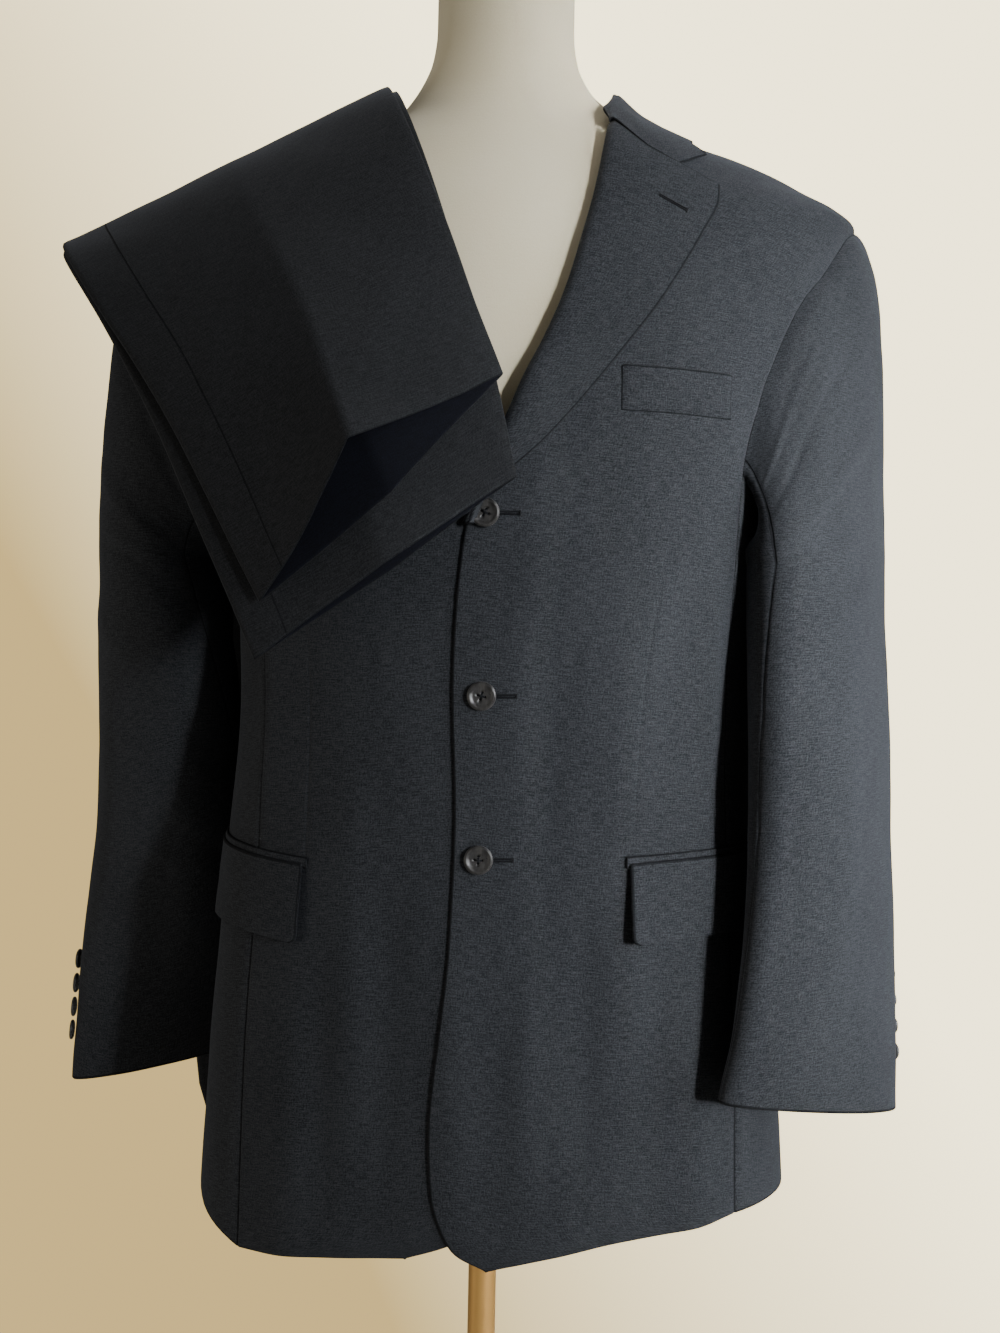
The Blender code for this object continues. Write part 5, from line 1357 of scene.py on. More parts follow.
# Stated width, length and flat area of each piece, how it is held and what it rests on. They are
# rounded from measures of the finished panels with an allowance added, not from a drafted pattern.
SHEETS = {
    "front_left": (0.33, 0.80, 0.165, "draped", ("form_body",)),
    "front_right": (0.33, 0.80, 0.157, "draped", ("form_body",)),
    "side_left": (0.20, 0.53, 0.099, "hung", ("cloth_front_left", "cloth_back_left")),
    "side_right": (0.20, 0.53, 0.097, "hung", ("cloth_front_right", "cloth_back_right")),
    "back_left": (0.27, 0.80, 0.155, "draped", ("form_body",)),
    "back_right": (0.27, 0.80, 0.152, "draped", ("form_body",)),
    "lapel_left": (0.12, 0.31, 0.020, "folded", ("cloth_front_left",)),
    "lapel_right": (0.12, 0.24, 0.017, "folded", ("cloth_front_right",)),
    "collar": (0.10, 0.46, 0.040, "folded", ("cloth_back_left", "cloth_back_right")),
    "sleeve_upper_left": (0.24, 0.66, 0.140, "hung", ("cloth_front_left", "cloth_back_left")),
    "sleeve_under_left": (0.17, 0.50, 0.078, "hung", ("cloth_sleeve_upper_left",)),
    "sleeve_upper_right": (0.24, 0.66, 0.140, "hung", ("cloth_front_right", "cloth_back_right")),
    "sleeve_under_right": (0.17, 0.50, 0.078, "hung", ("cloth_sleeve_upper_right",)),
    "flap_left": (0.065, 0.17, 0.0095, "hung", ("cloth_jet_left",)),
    "flap_right": (0.065, 0.17, 0.0095, "hung", ("cloth_jet_right",)),
    "jet_left": (0.010, 0.17, 0.0016, "laid", ("cloth_front_left", "cloth_side_left")),
    "jet_right": (0.010, 0.17, 0.0016, "laid", ("cloth_front_right", "cloth_side_right")),
    "breast_welt": (0.032, 0.095, 0.0029, "laid", ("cloth_front_left",)),
    "leg_right_front": (0.33, 1.10, 0.295, "draped", ("cloth_leg_right_back",)),
    "leg_right_back": (0.42, 1.10, 0.375, "draped", ("cloth_front_right", "cloth_back_right")),
    "leg_left_front": (0.33, 1.10, 0.295, "draped", ("cloth_leg_left_back",)),
    "leg_left_back": (0.42, 1.10, 0.375, "draped", ("cloth_leg_right_front",)),
    "waistband": (0.056, 0.45, 0.024, "hung", ("cloth_leg_left_front", "cloth_leg_right_back")),
}


def declare_sheets(made):
    for name, (width, length, area, held, rests_on) in SHEETS.items():
        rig.sheet(made[name], flat=(width, length), held=held, rests_on=list(rests_on), area=area)


def panel(key, rows, sink):
    return cloth_wall("cloth_" + key, rows, JACKET_WALL, sink=sink, lined=BODY_AXIS)


def build_body():
    made = {}
    columns = near(fine(0.0, 1.0, 46, 0.004), [DART_BASE], DART_NEAR)
    steps = fine(0.0, 14.0, 96, 0.0009)
    for side, hand, table, dart, lift in ((1, "left", FRONT_LEFT, DART_LEFT, left_lift),
                                          (-1, "right", FRONT_RIGHT, DART_RIGHT, flat_lift)):
        front = dart_grid(side, table, dart, steps, columns)
        under_arm = side_grid(side, fine(0.0, 1.0, 22, 0.008), fine(0.0, 1.0, 56, 0.002))
        back = back_grid(side, fine(0.0, 11.0, 80, 0.001), fine(0.0, 1.0, 34, 0.004))
        for part, rows, sink in (("front", body_rows(front, lift), FRONT_SINK),
                                 ("side", body_rows(plain(under_arm), flat_lift), SEAMS_SINK),
                                 ("back", body_rows(plain(back), flat_lift), SEAMS_SINK)):
            key = part + "_" + hand
            made[key] = panel(key, rows, sink)
    for key, thing in made.items():
        dress(thing, SUITING, "suiting", key)
    return made


# ---- lapels and collar ----

# Shares across a lapel, close together at the roll and at the edge.
LAPEL_SHARES = [0.0, 0.03, 0.07, 0.12] + spread(0.18, 0.96, 18) + [0.985, 1.0]
LAPEL_FIRST = 0.25
LAPEL_LAST = 8.0
# How far the collar's foot is drawn to its fold at the front end, and over how many stations.
COLLAR_TUCK = 0.7
COLLAR_TUCKED = 1.6


def lapel_rise(share):
    return row_at(LAPEL_ROLL, share)[0]


def lapel_surface(side, step, share, mm=0.0, height_mm=None):
    """Middle of a lapel's cloth at a step up the roll line and a share of its width."""
    x, z = lapel_place(side, step, share, mm)
    turn, level = placed(side, x, z)
    if height_mm is None:
        height_mm = lapel_rise(share)
    grown = 0.9 + 0.1 * ease(step / 2.5)
    if side < 0:
        grown *= 1.0 - 0.25 * ease((step - 2.5) / 2.0)
    lift = height_mm * MM * (grown if height_mm > 0 else 1.0)
    if side > 0:
        lift += overlap(x, z)
    return body_point(turn, level, lift)


def build_lapels():
    made = {}
    for side, hand, first in ((1, "left", LAPEL_FIRST), (-1, "right", RIGHT_LAPEL_START)):
        rows = []
        for step in fine(first, LAPEL_LAST, 70, 0.0028):
            row = [lapel_surface(side, step, 0.0, mm, tall) for mm, tall in LAPEL_TURN]
            row += [lapel_surface(side, step, share) for share in LAPEL_SHARES]
            rows.append(row)
        thing = cloth_wall("cloth_lapel_" + hand, rows, LAPEL_WALL, centred=True)
        made["lapel_" + hand] = dress(thing, SUITING, "suiting", "lapel_" + hand)
    return made


def collar_section(side, station):
    """One section of the collar, from the foot of the stand over the fold to the edge."""
    base, fold, inner, outer, edge = [collar_line(side, station, k) for k in range(1, 6)]
    base = base.lerp(fold, COLLAR_TUCK * (1.0 - ease(station / COLLAR_TUCKED)))
    up = (fold - base).normalized() * min(COLLAR_ROLL, 0.45 * (fold - base).length)
    down = (inner - fold).normalized() * COLLAR_ROLL
    points = [base.lerp(fold - up, t) for t in (0.0, 0.05, 0.35, 0.7)]
    for k in range(7):
        t = k / 6
        points.append((fold - up) * (1 - t) ** 2 + fold * 2 * t * (1 - t) + (fold + down) * t ** 2)
    for a, b in ((fold + down, inner), (inner, outer), (outer, edge)):
        points += [a.lerp(b, t) for t in (0.33, 0.67, 1.0)]
    points.insert(-1, points[-2].lerp(points[-1], 0.8))
    return points


def build_collar():
    stations = fine(0.0, 10.0, 110, 0.0008)
    rows = [collar_section(1, k) if k <= 5.0 else collar_section(-1, 10.0 - k) for k in stations]
    thing = cloth_wall("cloth_collar", rows, JACKET_WALL, centred=True)
    return {"collar": dress(thing, SUITING, "suiting", "collar")}


# ---- sleeves ----

# Way in which the cloth leaves the armhole, outward, to the front and down, and the pull
# of both ends on its path to the first ring.
LEAVE_OUT, LEAVE_FRONT, LEAVE_DOWN = 0.84, 0.40, 0.48
LEAVE_PULL = 0.40
ARRIVE_PULL = 0.9
ARMHOLE_DEPTH = 0.4 * MM
# Small gathers of the sleeve head: degrees between two, height.
PUCKER_WAVE = 11.0
PUCKER_RISE = 0.8 * MM
# Swell of the left sleeve's front: height, middle and spread along the way, angle.
FRONT_SWELL = 12.0 * MM
SWELL_WAY, SWELL_SPREAD, SWELL_ANGLE = 0.82, 0.34, 160.0
SLEEVE_WAYS = [0.0, 0.003, 0.008] + spread(0.0, 2.0, 128)[1:-1] + [1.985, 1.997, 2.0]


def sleeve_start(side, angle):
    turn, height = row_at(ARMHOLE, angle % 360.0)
    return body_point(*turned(side, turn, height), -ARMHOLE_DEPTH)


def sleeve_surface(side, table, way, angle):
    """Middle of the sleeve's cloth, from the armhole seam to the cuff."""
    if way >= 1.0:
        top = table[-1][0]
        return sleeve_ring(side, table, top - (way - 1.0) * (top - table[0][0]), angle)
    a = math.radians(angle)
    start = sleeve_start(side, angle)
    leave = Vector((side * LEAVE_OUT, -LEAVE_FRONT * math.sin(a), -LEAVE_DOWN)).normalized()
    top = table[-1][0]
    end = sleeve_ring(side, table, top, angle)
    arrive = (sleeve_ring(side, table, top - 0.01, angle) - end).normalized()
    reach = (end - start).length
    t = way
    return (start * ((1 + 2 * t) * (1 - t) ** 2) + leave * (t * (1 - t) ** 2 * LEAVE_PULL * reach)
            + end * (t * t * (3 - 2 * t)) + arrive * (t * t * (t - 1) * ARRIVE_PULL * reach))


def sleeve_rise(side, way, angle, creases):
    """Height of the creases, the unevenness, the swell and the gathers of a sleeve."""
    turned_angle = (angle + 180.0) % 360.0 - 180.0
    rise = crease_rise(creases, way, turned_angle, WAY_MM, ANGLE_MM)
    if turned_angle < 0.0:
        rise += crease_rise(creases, way, turned_angle + 360.0, WAY_MM, ANGLE_MM)
    rise += 1.4 * undulation(way * 5.0, angle * 0.018, 3.0 + side)
    if side > 0:
        facing = max(0.0, math.cos(math.radians(angle - SWELL_ANGLE)))
        rise += FRONT_SWELL * facing * facing * math.exp(-((way - SWELL_WAY) / SWELL_SPREAD) ** 2)
    head = ease((0.16 - way) / 0.14) * ease(way / 0.02)
    upper = max(0.0, math.cos(math.radians(turned_angle - 20.0)))
    wave = math.radians(angle * 360.0 / PUCKER_WAVE) + 2.0 * math.sin(angle * 0.11)
    rise += PUCKER_RISE * head * upper * math.sin(wave)
    return rise


def build_sleeves():
    made = {}
    for side, hand, table, creases in ((1, "left", SLEEVE_LEFT, SLEEVE_LEFT_CREASES),
                                       (-1, "right", SLEEVE_RIGHT, SLEEVE_RIGHT_CREASES)):
        for part, upper, count in (("upper", True, 56), ("under", False, 32)):
            shares = fine(0.0, 1.0, count, 0.004)
            rows = []
            rises = []
            for way in SLEEVE_WAYS:
                front, back = sleeve_seams(table, way)
                start, end = (back - 360.0, front) if upper else (front, back)
                angles = [between(start, end, share) for share in shares]
                rows.append([tuple(sleeve_surface(side, table, way, angle)) for angle in angles])
                rises.append([sleeve_rise(side, way, angle, creases) for angle in angles])
            points = np.array(rows)
            normals = grid_normals(points)
            ring_middle = np.array([[np.mean([tuple(sleeve_surface(side, table, way, 90.0 * k))
                                              for k in range(4)], axis=0)] for way in SLEEVE_WAYS])
            if float(((points - ring_middle) * normals).sum()) < 0:
                normals = -normals
            points = points + normals * (np.array(rises)[..., None] + JACKET_WALL / 2)
            thing = sleeve_wall(hand, part, points, normals)
            key = "sleeve_%s_%s" % (part, hand)
            made[key] = dress(thing, SUITING, "suiting", key)
    return made


def sleeve_wall(hand, part, points, normals):
    """Wall below a sleeve's outer face, drawn in along its two seams."""
    points = points.copy()
    points[:, 0] -= normals[:, 0] * SEAM_SINK
    points[:, -1] -= normals[:, -1] * SEAM_SINK
    middle = points - normals * JACKET_WALL / 2
    return cloth_wall("cloth_sleeve_%s_%s" % (part, hand), middle, JACKET_WALL, centred=True)


# ---- pockets ----

def flap_surface(side, line, front_rise, down, column):
    turn_a, height_a, turn_b, height_b = line
    length = (body_point(turn_a, height_a) - body_point(turn_b, height_b)).length * 1.05
    inset = rounded_shares(down, FLAP_DEPTH, length)
    share = inset + (1.0 - 2.0 * inset) * column
    turn = side * between(turn_a, turn_b, share)
    height = between(height_a, height_b, share) - down
    hang = down / FLAP_DEPTH
    lift = FLAP_LIFT + 0.3 * MM + 1.0 * MM * hang + front_rise * hang * (1.0 - ease(share / 0.35))
    lift += 0.5 * MM * noise.noise(Vector((share * 5.0, down * 60.0, 20.0 + side)))
    return body_point(turn, height, lift)


FLAP_DOWNS = [-1.2 * MM, 0.0, 1.0 * MM] + spread(4.0 * MM, FLAP_DEPTH - FLAP_CORNER, 9) + [
    FLAP_DEPTH - FLAP_CORNER * (1.0 - math.sin(math.radians(9.0 * k))) for k in range(1, 11)]
FLAP_COLUMNS = [0.0, 0.008] + spread(0.03, 0.97, 30) + [0.992, 1.0]
JET_DOWNS = (-JET_DEPTH, -JET_DEPTH + 0.5 * MM, -0.6 * JET_DEPTH, -0.3 * JET_DEPTH, -0.5 * MM, 0.6 * MM)
JET_SHARES = [-0.02, -0.017] + spread(-0.01, 1.01, 30) + [1.017, 1.02]
JET_FOOT = 0.3 * MM
WELT_DOWNS = [-0.4 * MM, 0.4 * MM] + spread(2.0 * MM, WELT_DEPTH - 2.0 * MM, 10) + [
    WELT_DEPTH - 0.6 * MM, WELT_DEPTH]
WELT_SHARES = [0.0, 0.007] + spread(0.03, 0.97, 26) + [0.993, 1.0]


def jet_surface(side, line, down, share):
    turn = side * between(line[0], line[2], share)
    height = between(line[1], line[3], share) - down
    full = math.sin(math.pi * min(1.0, max(0.0, (down + JET_DEPTH) / JET_DEPTH)))
    return body_point(turn, height, JET_FOOT + (JET_LIFT - JET_FOOT) * (0.4 + 0.6 * full))


def welt_surface(down, share):
    front_x, front_z, back_x, back_z = WELT
    x = between(front_x, back_x, share)
    z = between(front_z, back_z, share) - down
    edge = min(1.0, (WELT_DEPTH - down) / (3.0 * MM), share * 25.0, (1.0 - share) * 25.0)
    top = 0.4 * MM * ease(1.0 - down / (9.0 * MM))
    return body_point(*placed(1, x, z), -0.35 * MM + top + 1.1 * MM * ease(edge))


def pocket_piece(key, rows, wall):
    thing = cloth_wall("cloth_" + key, rows, wall, centred=True)
    return {key: dress(thing, SUITING, "suiting", key)}


def build_pockets():
    made = {}
    for side, hand, line, rise in ((1, "left", FLAP_LEFT, 5.0 * MM), (-1, "right", FLAP_RIGHT, 1.5 * MM)):
        flap = [[flap_surface(side, line, rise, down, column) for column in FLAP_COLUMNS]
                for down in FLAP_DOWNS]
        made.update(pocket_piece("flap_" + hand, flap, FLAP_WALL))
        jet = [[jet_surface(side, line, down, share) for share in JET_SHARES] for down in JET_DOWNS]
        made.update(pocket_piece("jet_" + hand, jet, JET_WALL))
    welt = [[welt_surface(down, share) for share in WELT_SHARES] for down in WELT_DOWNS]
    made.update(pocket_piece("breast_welt", welt, JET_WALL))
    return made


# ---- trousers ----

HEM_MARK = 0.085
HEM_MARK_REACH = 0.0035
HEM_MARK_SINK = 0.28 * MM
SEAM_CLOSE = 0.0022


def leg_surface(table, seat, way, share, level, creases=True):
    outer_x, outer_z, inner_x, inner_z, top_pull, top_rise, low_pull, low_rise = leg_frame(table, way)
    across = math.hypot(inner_x - outer_x, inner_z - outer_z)
    pull = between(low_pull, top_pull, level) * MM * tent(share)
    rise = between(low_rise, top_rise, level) * MM * tent(share)
    place = between(outer_x, inner_x, share) + pull * (inner_z - outer_z) / across
    height = between(outer_z, inner_z, share) - pull * (inner_x - outer_x) / across
    if seat > UNDER_LEG_LIFT:
        rise += HEM_STANDS_OFF * max(0.0, 1.0 - way) ** 2
    mark = (way - HEM_MARK) / HEM_MARK_REACH
    if level > 0.9 and abs(mark) < 3.0:
        rise -= HEM_MARK_SINK * math.exp(-mark * mark)
    if creases:
        free = ease(share / 0.05) * ease((1.0 - share) / 0.05)
        rise += free * (crease_rise(LEG_CREASES, way, share, LEG_WAY_MM, LEG_SHARE_MM)
                        + 1.6 * undulation(way * 5.0, share * 3.4, 9.0 + 40.0 * seat))
    return saddle_point(place, height, way > 1.0, seat + LEG_HOLLOW * level + rise)


def fine_section(section, most):
    """A leg's section with its long stretches cut into steps of at most so much share."""
    points = [section[0]]
    for a, b in zip(section, section[1:]):
        count = max(1, math.ceil(abs(b[0] - a[0]) / most))
        points += [(a[0] + (b[0] - a[0]) * k / count, a[1] + (b[1] - a[1]) * k / count)
                   for k in range(1, count + 1)]
    return points


def seam_section(points):
    """A section with one more point close to its seam, so that the seam reads as a thin line."""
    first, last = points[0], points[-1]
    if abs(first[0] - LEG_SEAM) < 0.01:
        return [first, (first[0] + SEAM_CLOSE, first[1])] + points[1:]
    return points[:-1] + [(last[0] - SEAM_CLOSE, last[1]), last]


def scene_ways():
    ways = near([0.0, 0.004] + spread(0.02, 0.9, 34), [HEM_MARK], HEM_MARK_REACH)
    ways += spread(0.92, 0.995, 8) + [1.0]
    for k in range(1, 60):
        ways.append(1.0 + (WAIST_SHARE - 1.0) * (k / 59) ** 1.7)
    return ways


def band_point(way, share, level):
    """Point of the waistband, which holds the waist of both legs."""
    outer_x, outer_z, inner_x, inner_z = leg_frame(LEG_TOP, way)[:4]
    tall = TOP_LEG_LIFT + LEG_HOLLOW - UNDER_LEG_LIFT
    return saddle_point(between(outer_x, inner_x, share), between(outer_z, inner_z, share),
                        True, UNDER_LEG_LIFT + tall * level)


def build_trousers():
    made = {}
    ways = scene_ways()
    for hand, table, seat in (("left", LEG_TOP, TOP_LEG_LIFT), ("right", LEG_UNDER, UNDER_LEG_LIFT)):
        for part, section in (("front", LEG_FRONT_SECTION), ("back", LEG_BACK_SECTION)):
            fine_points = seam_section(fine_section(section, 0.02))
            rows = [[leg_surface(table, seat, way, share, level) for share, level in fine_points]
                    for way in ways]
            hollow = leg_surface(table, seat, ways[(len(ways) - 1) // 2], 0.5, 0.5, False)
            thing = cloth_wall("cloth_leg_%s_%s" % (hand, part), rows, TROUSER_WALL, centred=True,
                               lined=tuple(hollow))
            key = "leg_%s_%s" % (hand, part)
            made[key] = dress(thing, TROUSERING, "suiting", key)
    rows = [[band_point(way, share, level) for share, level in fine_section(WAIST_SECTION, 0.03)]
            for way in fine(WAIST_SHARE - 0.004, BAND_SHARE, 8, 0.02)]
    thing = cloth_wall("cloth_waistband", rows, TROUSER_WALL * 1.6, centred=True, band=True)
    made["waistband"] = dress(thing, TROUSERING, "suiting", "waistband")
    return made


# ---- buttons and stitches ----

BUTTON_TURNED = (
    (0.00, 0.10), (0.55, 0.10), (0.80, 0.14), (0.93, 0.30), (1.00, 0.52), (1.00, 0.68),
    (0.965, 0.88), (0.90, 0.985), (0.83, 1.00), (0.765, 0.955), (0.71, 0.84), (0.64, 0.765),
    (0.50, 0.735), (0.25, 0.725), (0.00, 0.725),
)
BUTTON_STEPS = 64
HOLE_SHARE = 0.235
HOLE_SIZE = 0.105


def turned_mesh(name, profile, steps):
    """Solid of revolution about Z from a profile that starts and ends on the axis."""
    points = [Vector((0.0, 0.0, profile[0][1]))]
    for r, z in profile[1:-1]:
        points += [Vector((r * math.cos(2 * math.pi * k / steps), r * math.sin(2 * math.pi * k / steps), z))
                   for k in range(steps)]
    points.append(Vector((0.0, 0.0, profile[-1][1])))
    faces = []
    rings = len(profile) - 2
    for k in range(steps):
        m = (k + 1) % steps
        faces.append((0, 1 + m, 1 + k))
        for r in range(rings - 1):
            a = 1 + r * steps
            faces.append((a + k, a + m, a + steps + m, a + steps + k))
        last = 1 + (rings - 1) * steps
        faces.append((last + k, last + m, len(points) - 1))
    return solid_mesh(name, points, faces)


def settled(thing):
    """The object with its modifiers worked into its mesh."""
    shown = bpy.context.evaluated_depsgraph_get()
    mesh = bpy.data.meshes.new_from_object(thing.evaluated_get(shown))
    thing.modifiers.clear()
    thing.data = mesh
    return thing


def pierced_button(name, radius, thick, turn):
    profile = [(radius * r, thick * z) for r, z in BUTTON_TURNED]
    thing = turned_mesh(name, profile, BUTTON_STEPS)
    cutter_mesh = bmesh.new()
    for k in range(4):
        a = math.radians(45.0 + 90.0 * k + turn)
        at = Matrix.Translation((radius * HOLE_SHARE * math.cos(a), radius * HOLE_SHARE * math.sin(a), 0.0))
        bmesh.ops.create_cone(cutter_mesh, cap_ends=True, segments=18, radius1=radius * HOLE_SIZE,
                              radius2=radius * HOLE_SIZE, depth=20.0 * MM, matrix=at)
    mesh = bpy.data.meshes.new(name + "_holes")
    cutter_mesh.to_mesh(mesh)
    cutter_mesh.free()
    cutter = shown_object(name + "_holes", mesh)
    cut = thing.modifiers.new("holes", "BOOLEAN")
    cut.solver = "EXACT"
    cut.object = cutter
    settled(thing)
    bpy.data.objects.remove(cutter)
    return thing


def tube(name, points, radius, sides=8, closed=False):
    """Smooth tube through points."""
    curve = bpy.data.curves.new(name, "CURVE")
    curve.dimensions = "3D"
    curve.bevel_depth = radius
    curve.bevel_resolution = sides // 4
    curve.use_fill_caps = not closed
    spline = curve.splines.new("POLY")
    spline.points.add(len(points) - 1)
    for knot, point in zip(spline.points, points):
        knot.co = (point[0], point[1], point[2], 1.0)
    spline.use_cyclic_u = closed
    made = shown_object(name + "_curve", curve)
    shown = bpy.context.evaluated_depsgraph_get()
    mesh = bpy.data.meshes.new_from_object(made.evaluated_get(shown))
    mesh.name = name
    mesh.shade_smooth()
    bpy.data.objects.remove(made)
    return shown_object(name, mesh)


def joined(name, things):
    """Several meshes as one object."""
    whole = bmesh.new()
    for thing in things:
        part = bmesh.new()
        part.from_mesh(thing.data)
        part.transform(thing.matrix_world)
        mesh = bpy.data.meshes.new("part")
        part.to_mesh(mesh)
        part.free()
        whole.from_mesh(mesh)
        bpy.data.meshes.remove(mesh)
        bpy.data.objects.remove(thing)
    mesh = bpy.data.meshes.new(name)
    whole.to_mesh(mesh)
    whole.free()
    mesh.shade_smooth()
    return shown_object(name, mesh)


def stand_on(thing, place, normal, spin=0.0):
    turn = normal.to_track_quat("Z", "Y").to_matrix().to_4x4()
    thing.matrix_world = Matrix.Translation(place) @ turn @ Matrix.Rotation(spin, 4, "Z")
    bpy.context.view_layer.update()


STRAND_GAP = 0.42 * MM
STRAND_RADIUS = 0.27 * MM
STRANDS = 3


def button_threads(name, radius, thick, turn):
    """Crossed threads between the four holes."""
    made = []
    top = 0.80 * thick
    low = 0.45 * thick
    reach = radius * HOLE_SHARE
    for k in range(2):
        a = math.radians(45.0 + 90.0 * k + turn)
        along = Vector((math.cos(a), math.sin(a), 0.0))
        beside = Vector((-math.sin(a), math.cos(a), 0.0))
        for j in range(STRANDS):
            off = beside * (j - (STRANDS - 1) / 2) * STRAND_GAP
            rise = top + 0.25 * MM * k
            points = []
            for t in spread(-1.0, 1.0, 12):
                high = low + (rise - low) * (1.0 - abs(t) ** 3.5)
                points.append(along * reach * t + off + Vector((0.0, 0.0, high)))
            made.append(tube(name + "_strand", points, STRAND_RADIUS))
    return joined(name, made)


def front_button_at(height):
    turn = turn_at(BODY, FRONT_BUTTON_X, height)
    return body_point(turn, height, OVERLAP_LIFT + BUTTON_STAND - 0.3 * MM), ring_normal(BODY, turn, height)


HOLE_EDGE_RADIUS = 0.45 * MM
STITCH_RADIUS = 0.17 * MM
BAR_RADIUS = 0.5 * MM
# Distance past the slit's edge and lift of the three points of a stitch.
STITCH_POINTS = ((-0.35 * MM, 0.35 * MM), (0.1 * MM, 0.62 * MM), (0.75 * MM, 0.1 * MM))


def buttonhole(name, path_point, length, width):
    """Worked edge of a buttonhole: two rows of close stitches round a slit, and a bar."""
    half = width / 2
    ends = spread(0.2, math.pi - 0.2, 5)
    outline = [(t, half) for t in spread(0.0, length, 26)]
    outline += [(length + 0.35 * half * math.sin(a), half * math.cos(a)) for a in ends]
    outline += [(t, -half) for t in spread(length, 0.0, 26)]
    outline += [(-0.35 * half * math.sin(a), -half * math.cos(a)) for a in ends]
    stitches = [tube(name + "_edge", [path_point(x, z, 0.15 * MM) for x, z in outline],
                     HOLE_EDGE_RADIUS, closed=True)]
    for t in spread(0.0, length, 40):
        for sign in (-1.0, 1.0):
            points = [path_point(t, sign * (half + past), lift) for past, lift in STITCH_POINTS]
            stitches.append(tube(name + "_stitch", points, STITCH_RADIUS, sides=4))
    bar = [path_point(length + 0.9 * MM, z, 0.4 * MM) for z in spread(-half - 1.0 * MM, half + 1.0 * MM, 6)]
    stitches.append(tube(name + "_bar", bar, BAR_RADIUS))
    return joined(name, stitches)


BUTTONHOLE_START = 0.003
BUTTONHOLE_LENGTH = 0.0185
BUTTONHOLE_WIDTH = 1.3 * MM
SLIT_LIFT = 0.35 * MM


def sewn_button(node, look, radius, thick, turn, place, normal):
    button = pierced_button("shown_" + node, radius, thick, turn)
    stand_on(button, place, normal)
    dress(button, look, "horn", node)
    sewn = button_threads("thread_" + node, radius, thick, turn)
    stand_on(sewn, place, normal)
    dress(sewn, THREAD, "suiting")


def front_slit(height):
    """Place on the left front for a point of the buttonhole at a height."""
    def slit(x, z, lift):
        place_x = FRONT_BUTTON_X + BUTTONHOLE_START + x
        turn = turn_at(BODY, place_x, height + z)
        return body_point(turn, height + z, overlap(place_x, height + z) + SLIT_LIFT + lift)
    return slit


def cuff_button_at(side, table, height):
    level = height + (table[0][0] - SLEEVE_RIGHT[0][0])
    top = table[-1][0]
    way = 1.0 + (top - level) / (top - table[0][0])
    row = row_at(table, level)
    angle = row[4] + CUFF_BUTTON_TURN
    place = sleeve_surface(side, table, way, angle)
    around = (sleeve_surface(side, table, way, angle + 1.0)
              - sleeve_surface(side, table, way, angle - 1.0))
    down = (sleeve_surface(side, table, way + 0.01, angle)
            - sleeve_surface(side, table, way - 0.01, angle))
    normal = around.cross(down).normalized()
    if normal.dot(place - Vector((side * row[0], row[1], place.z))) < 0:
        normal = -normal
    return place + normal * (JACKET_WALL / 2 + BUTTON_STAND), normal


def build_buttons():
    look = horn("button_horn")
    for k, height in enumerate(FRONT_BUTTON_HEIGHTS):
        sewn_button("front_button_%d" % (k + 1), look, FRONT_BUTTON_RADIUS, FRONT_BUTTON_THICK,
                    HOLE_TURN + 11.0 * k, *front_button_at(height))
        hole = buttonhole("buttonhole_%d" % (k + 1), front_slit(height), BUTTONHOLE_LENGTH,
                          BUTTONHOLE_WIDTH)
        dress(hole, THREAD, "suiting")
    for side, hand, table in ((1, "left", SLEEVE_LEFT), (-1, "right", SLEEVE_RIGHT)):
        for k, height in enumerate(CUFF_BUTTON_HEIGHTS):
            sewn_button("cuff_button_%s_%d" % (hand, k + 1), look, CUFF_BUTTON_RADIUS,
                        CUFF_BUTTON_THICK, 9.0 * k, *cuff_button_at(side, table, height))


# Buttonhole of the lapel: step and share of its inner end, step and share of its outer end.
LAPEL_HOLE = (6.89, 0.490, 6.59, 0.756)
LAPEL_HOLE_WIDTH = 1.1 * MM


def build_lapel_hole():
    step_a, share_a, step_b, share_b = LAPEL_HOLE
    long = (lapel_surface(1, step_b, share_b) - lapel_surface(1, step_a, share_a)).length

    def slit(x, z, lift):
        t = x / long
        step = between(step_a, step_b, t) + z / (30.0 * MM)
        share = between(share_a, share_b, t)
        return lapel_surface(1, step, share, 0.0, lapel_rise(share) + 1.0 + lift / MM)

    dress(buttonhole("buttonhole_lapel", slit, long, LAPEL_HOLE_WIDTH), THREAD, "suiting")


# ---- form and stand ----

FORM_AROUND = 128
FORM_LEVELS = sorted(spread(0.716, 1.545, 150) + [0.700, 0.7015, 0.704, 0.709, 1.560, 1.575])


def build_form():
    around, levels = FORM_AROUND, FORM_LEVELS
    points = [on_rings(FORM, 360.0 * k / around, level) for level in levels for k in range(around)]
    faces = []
    for r in range(len(levels) - 1):
        for k in range(around):
            m = (k + 1) % around
            faces.append((r * around + k, r * around + m, (r + 1) * around + m, (r + 1) * around + k))
    faces.append(tuple(reversed(range(around))))
    last = (len(levels) - 1) * around
    faces.append(tuple(range(last, last + around)))
    dress(solid_mesh("shown_form", points, faces), jersey("form_jersey"), "cover", "form_body")


POLE_LENGTH = FORM_BOTTOM - BASE_HEIGHT - 0.4 * MM
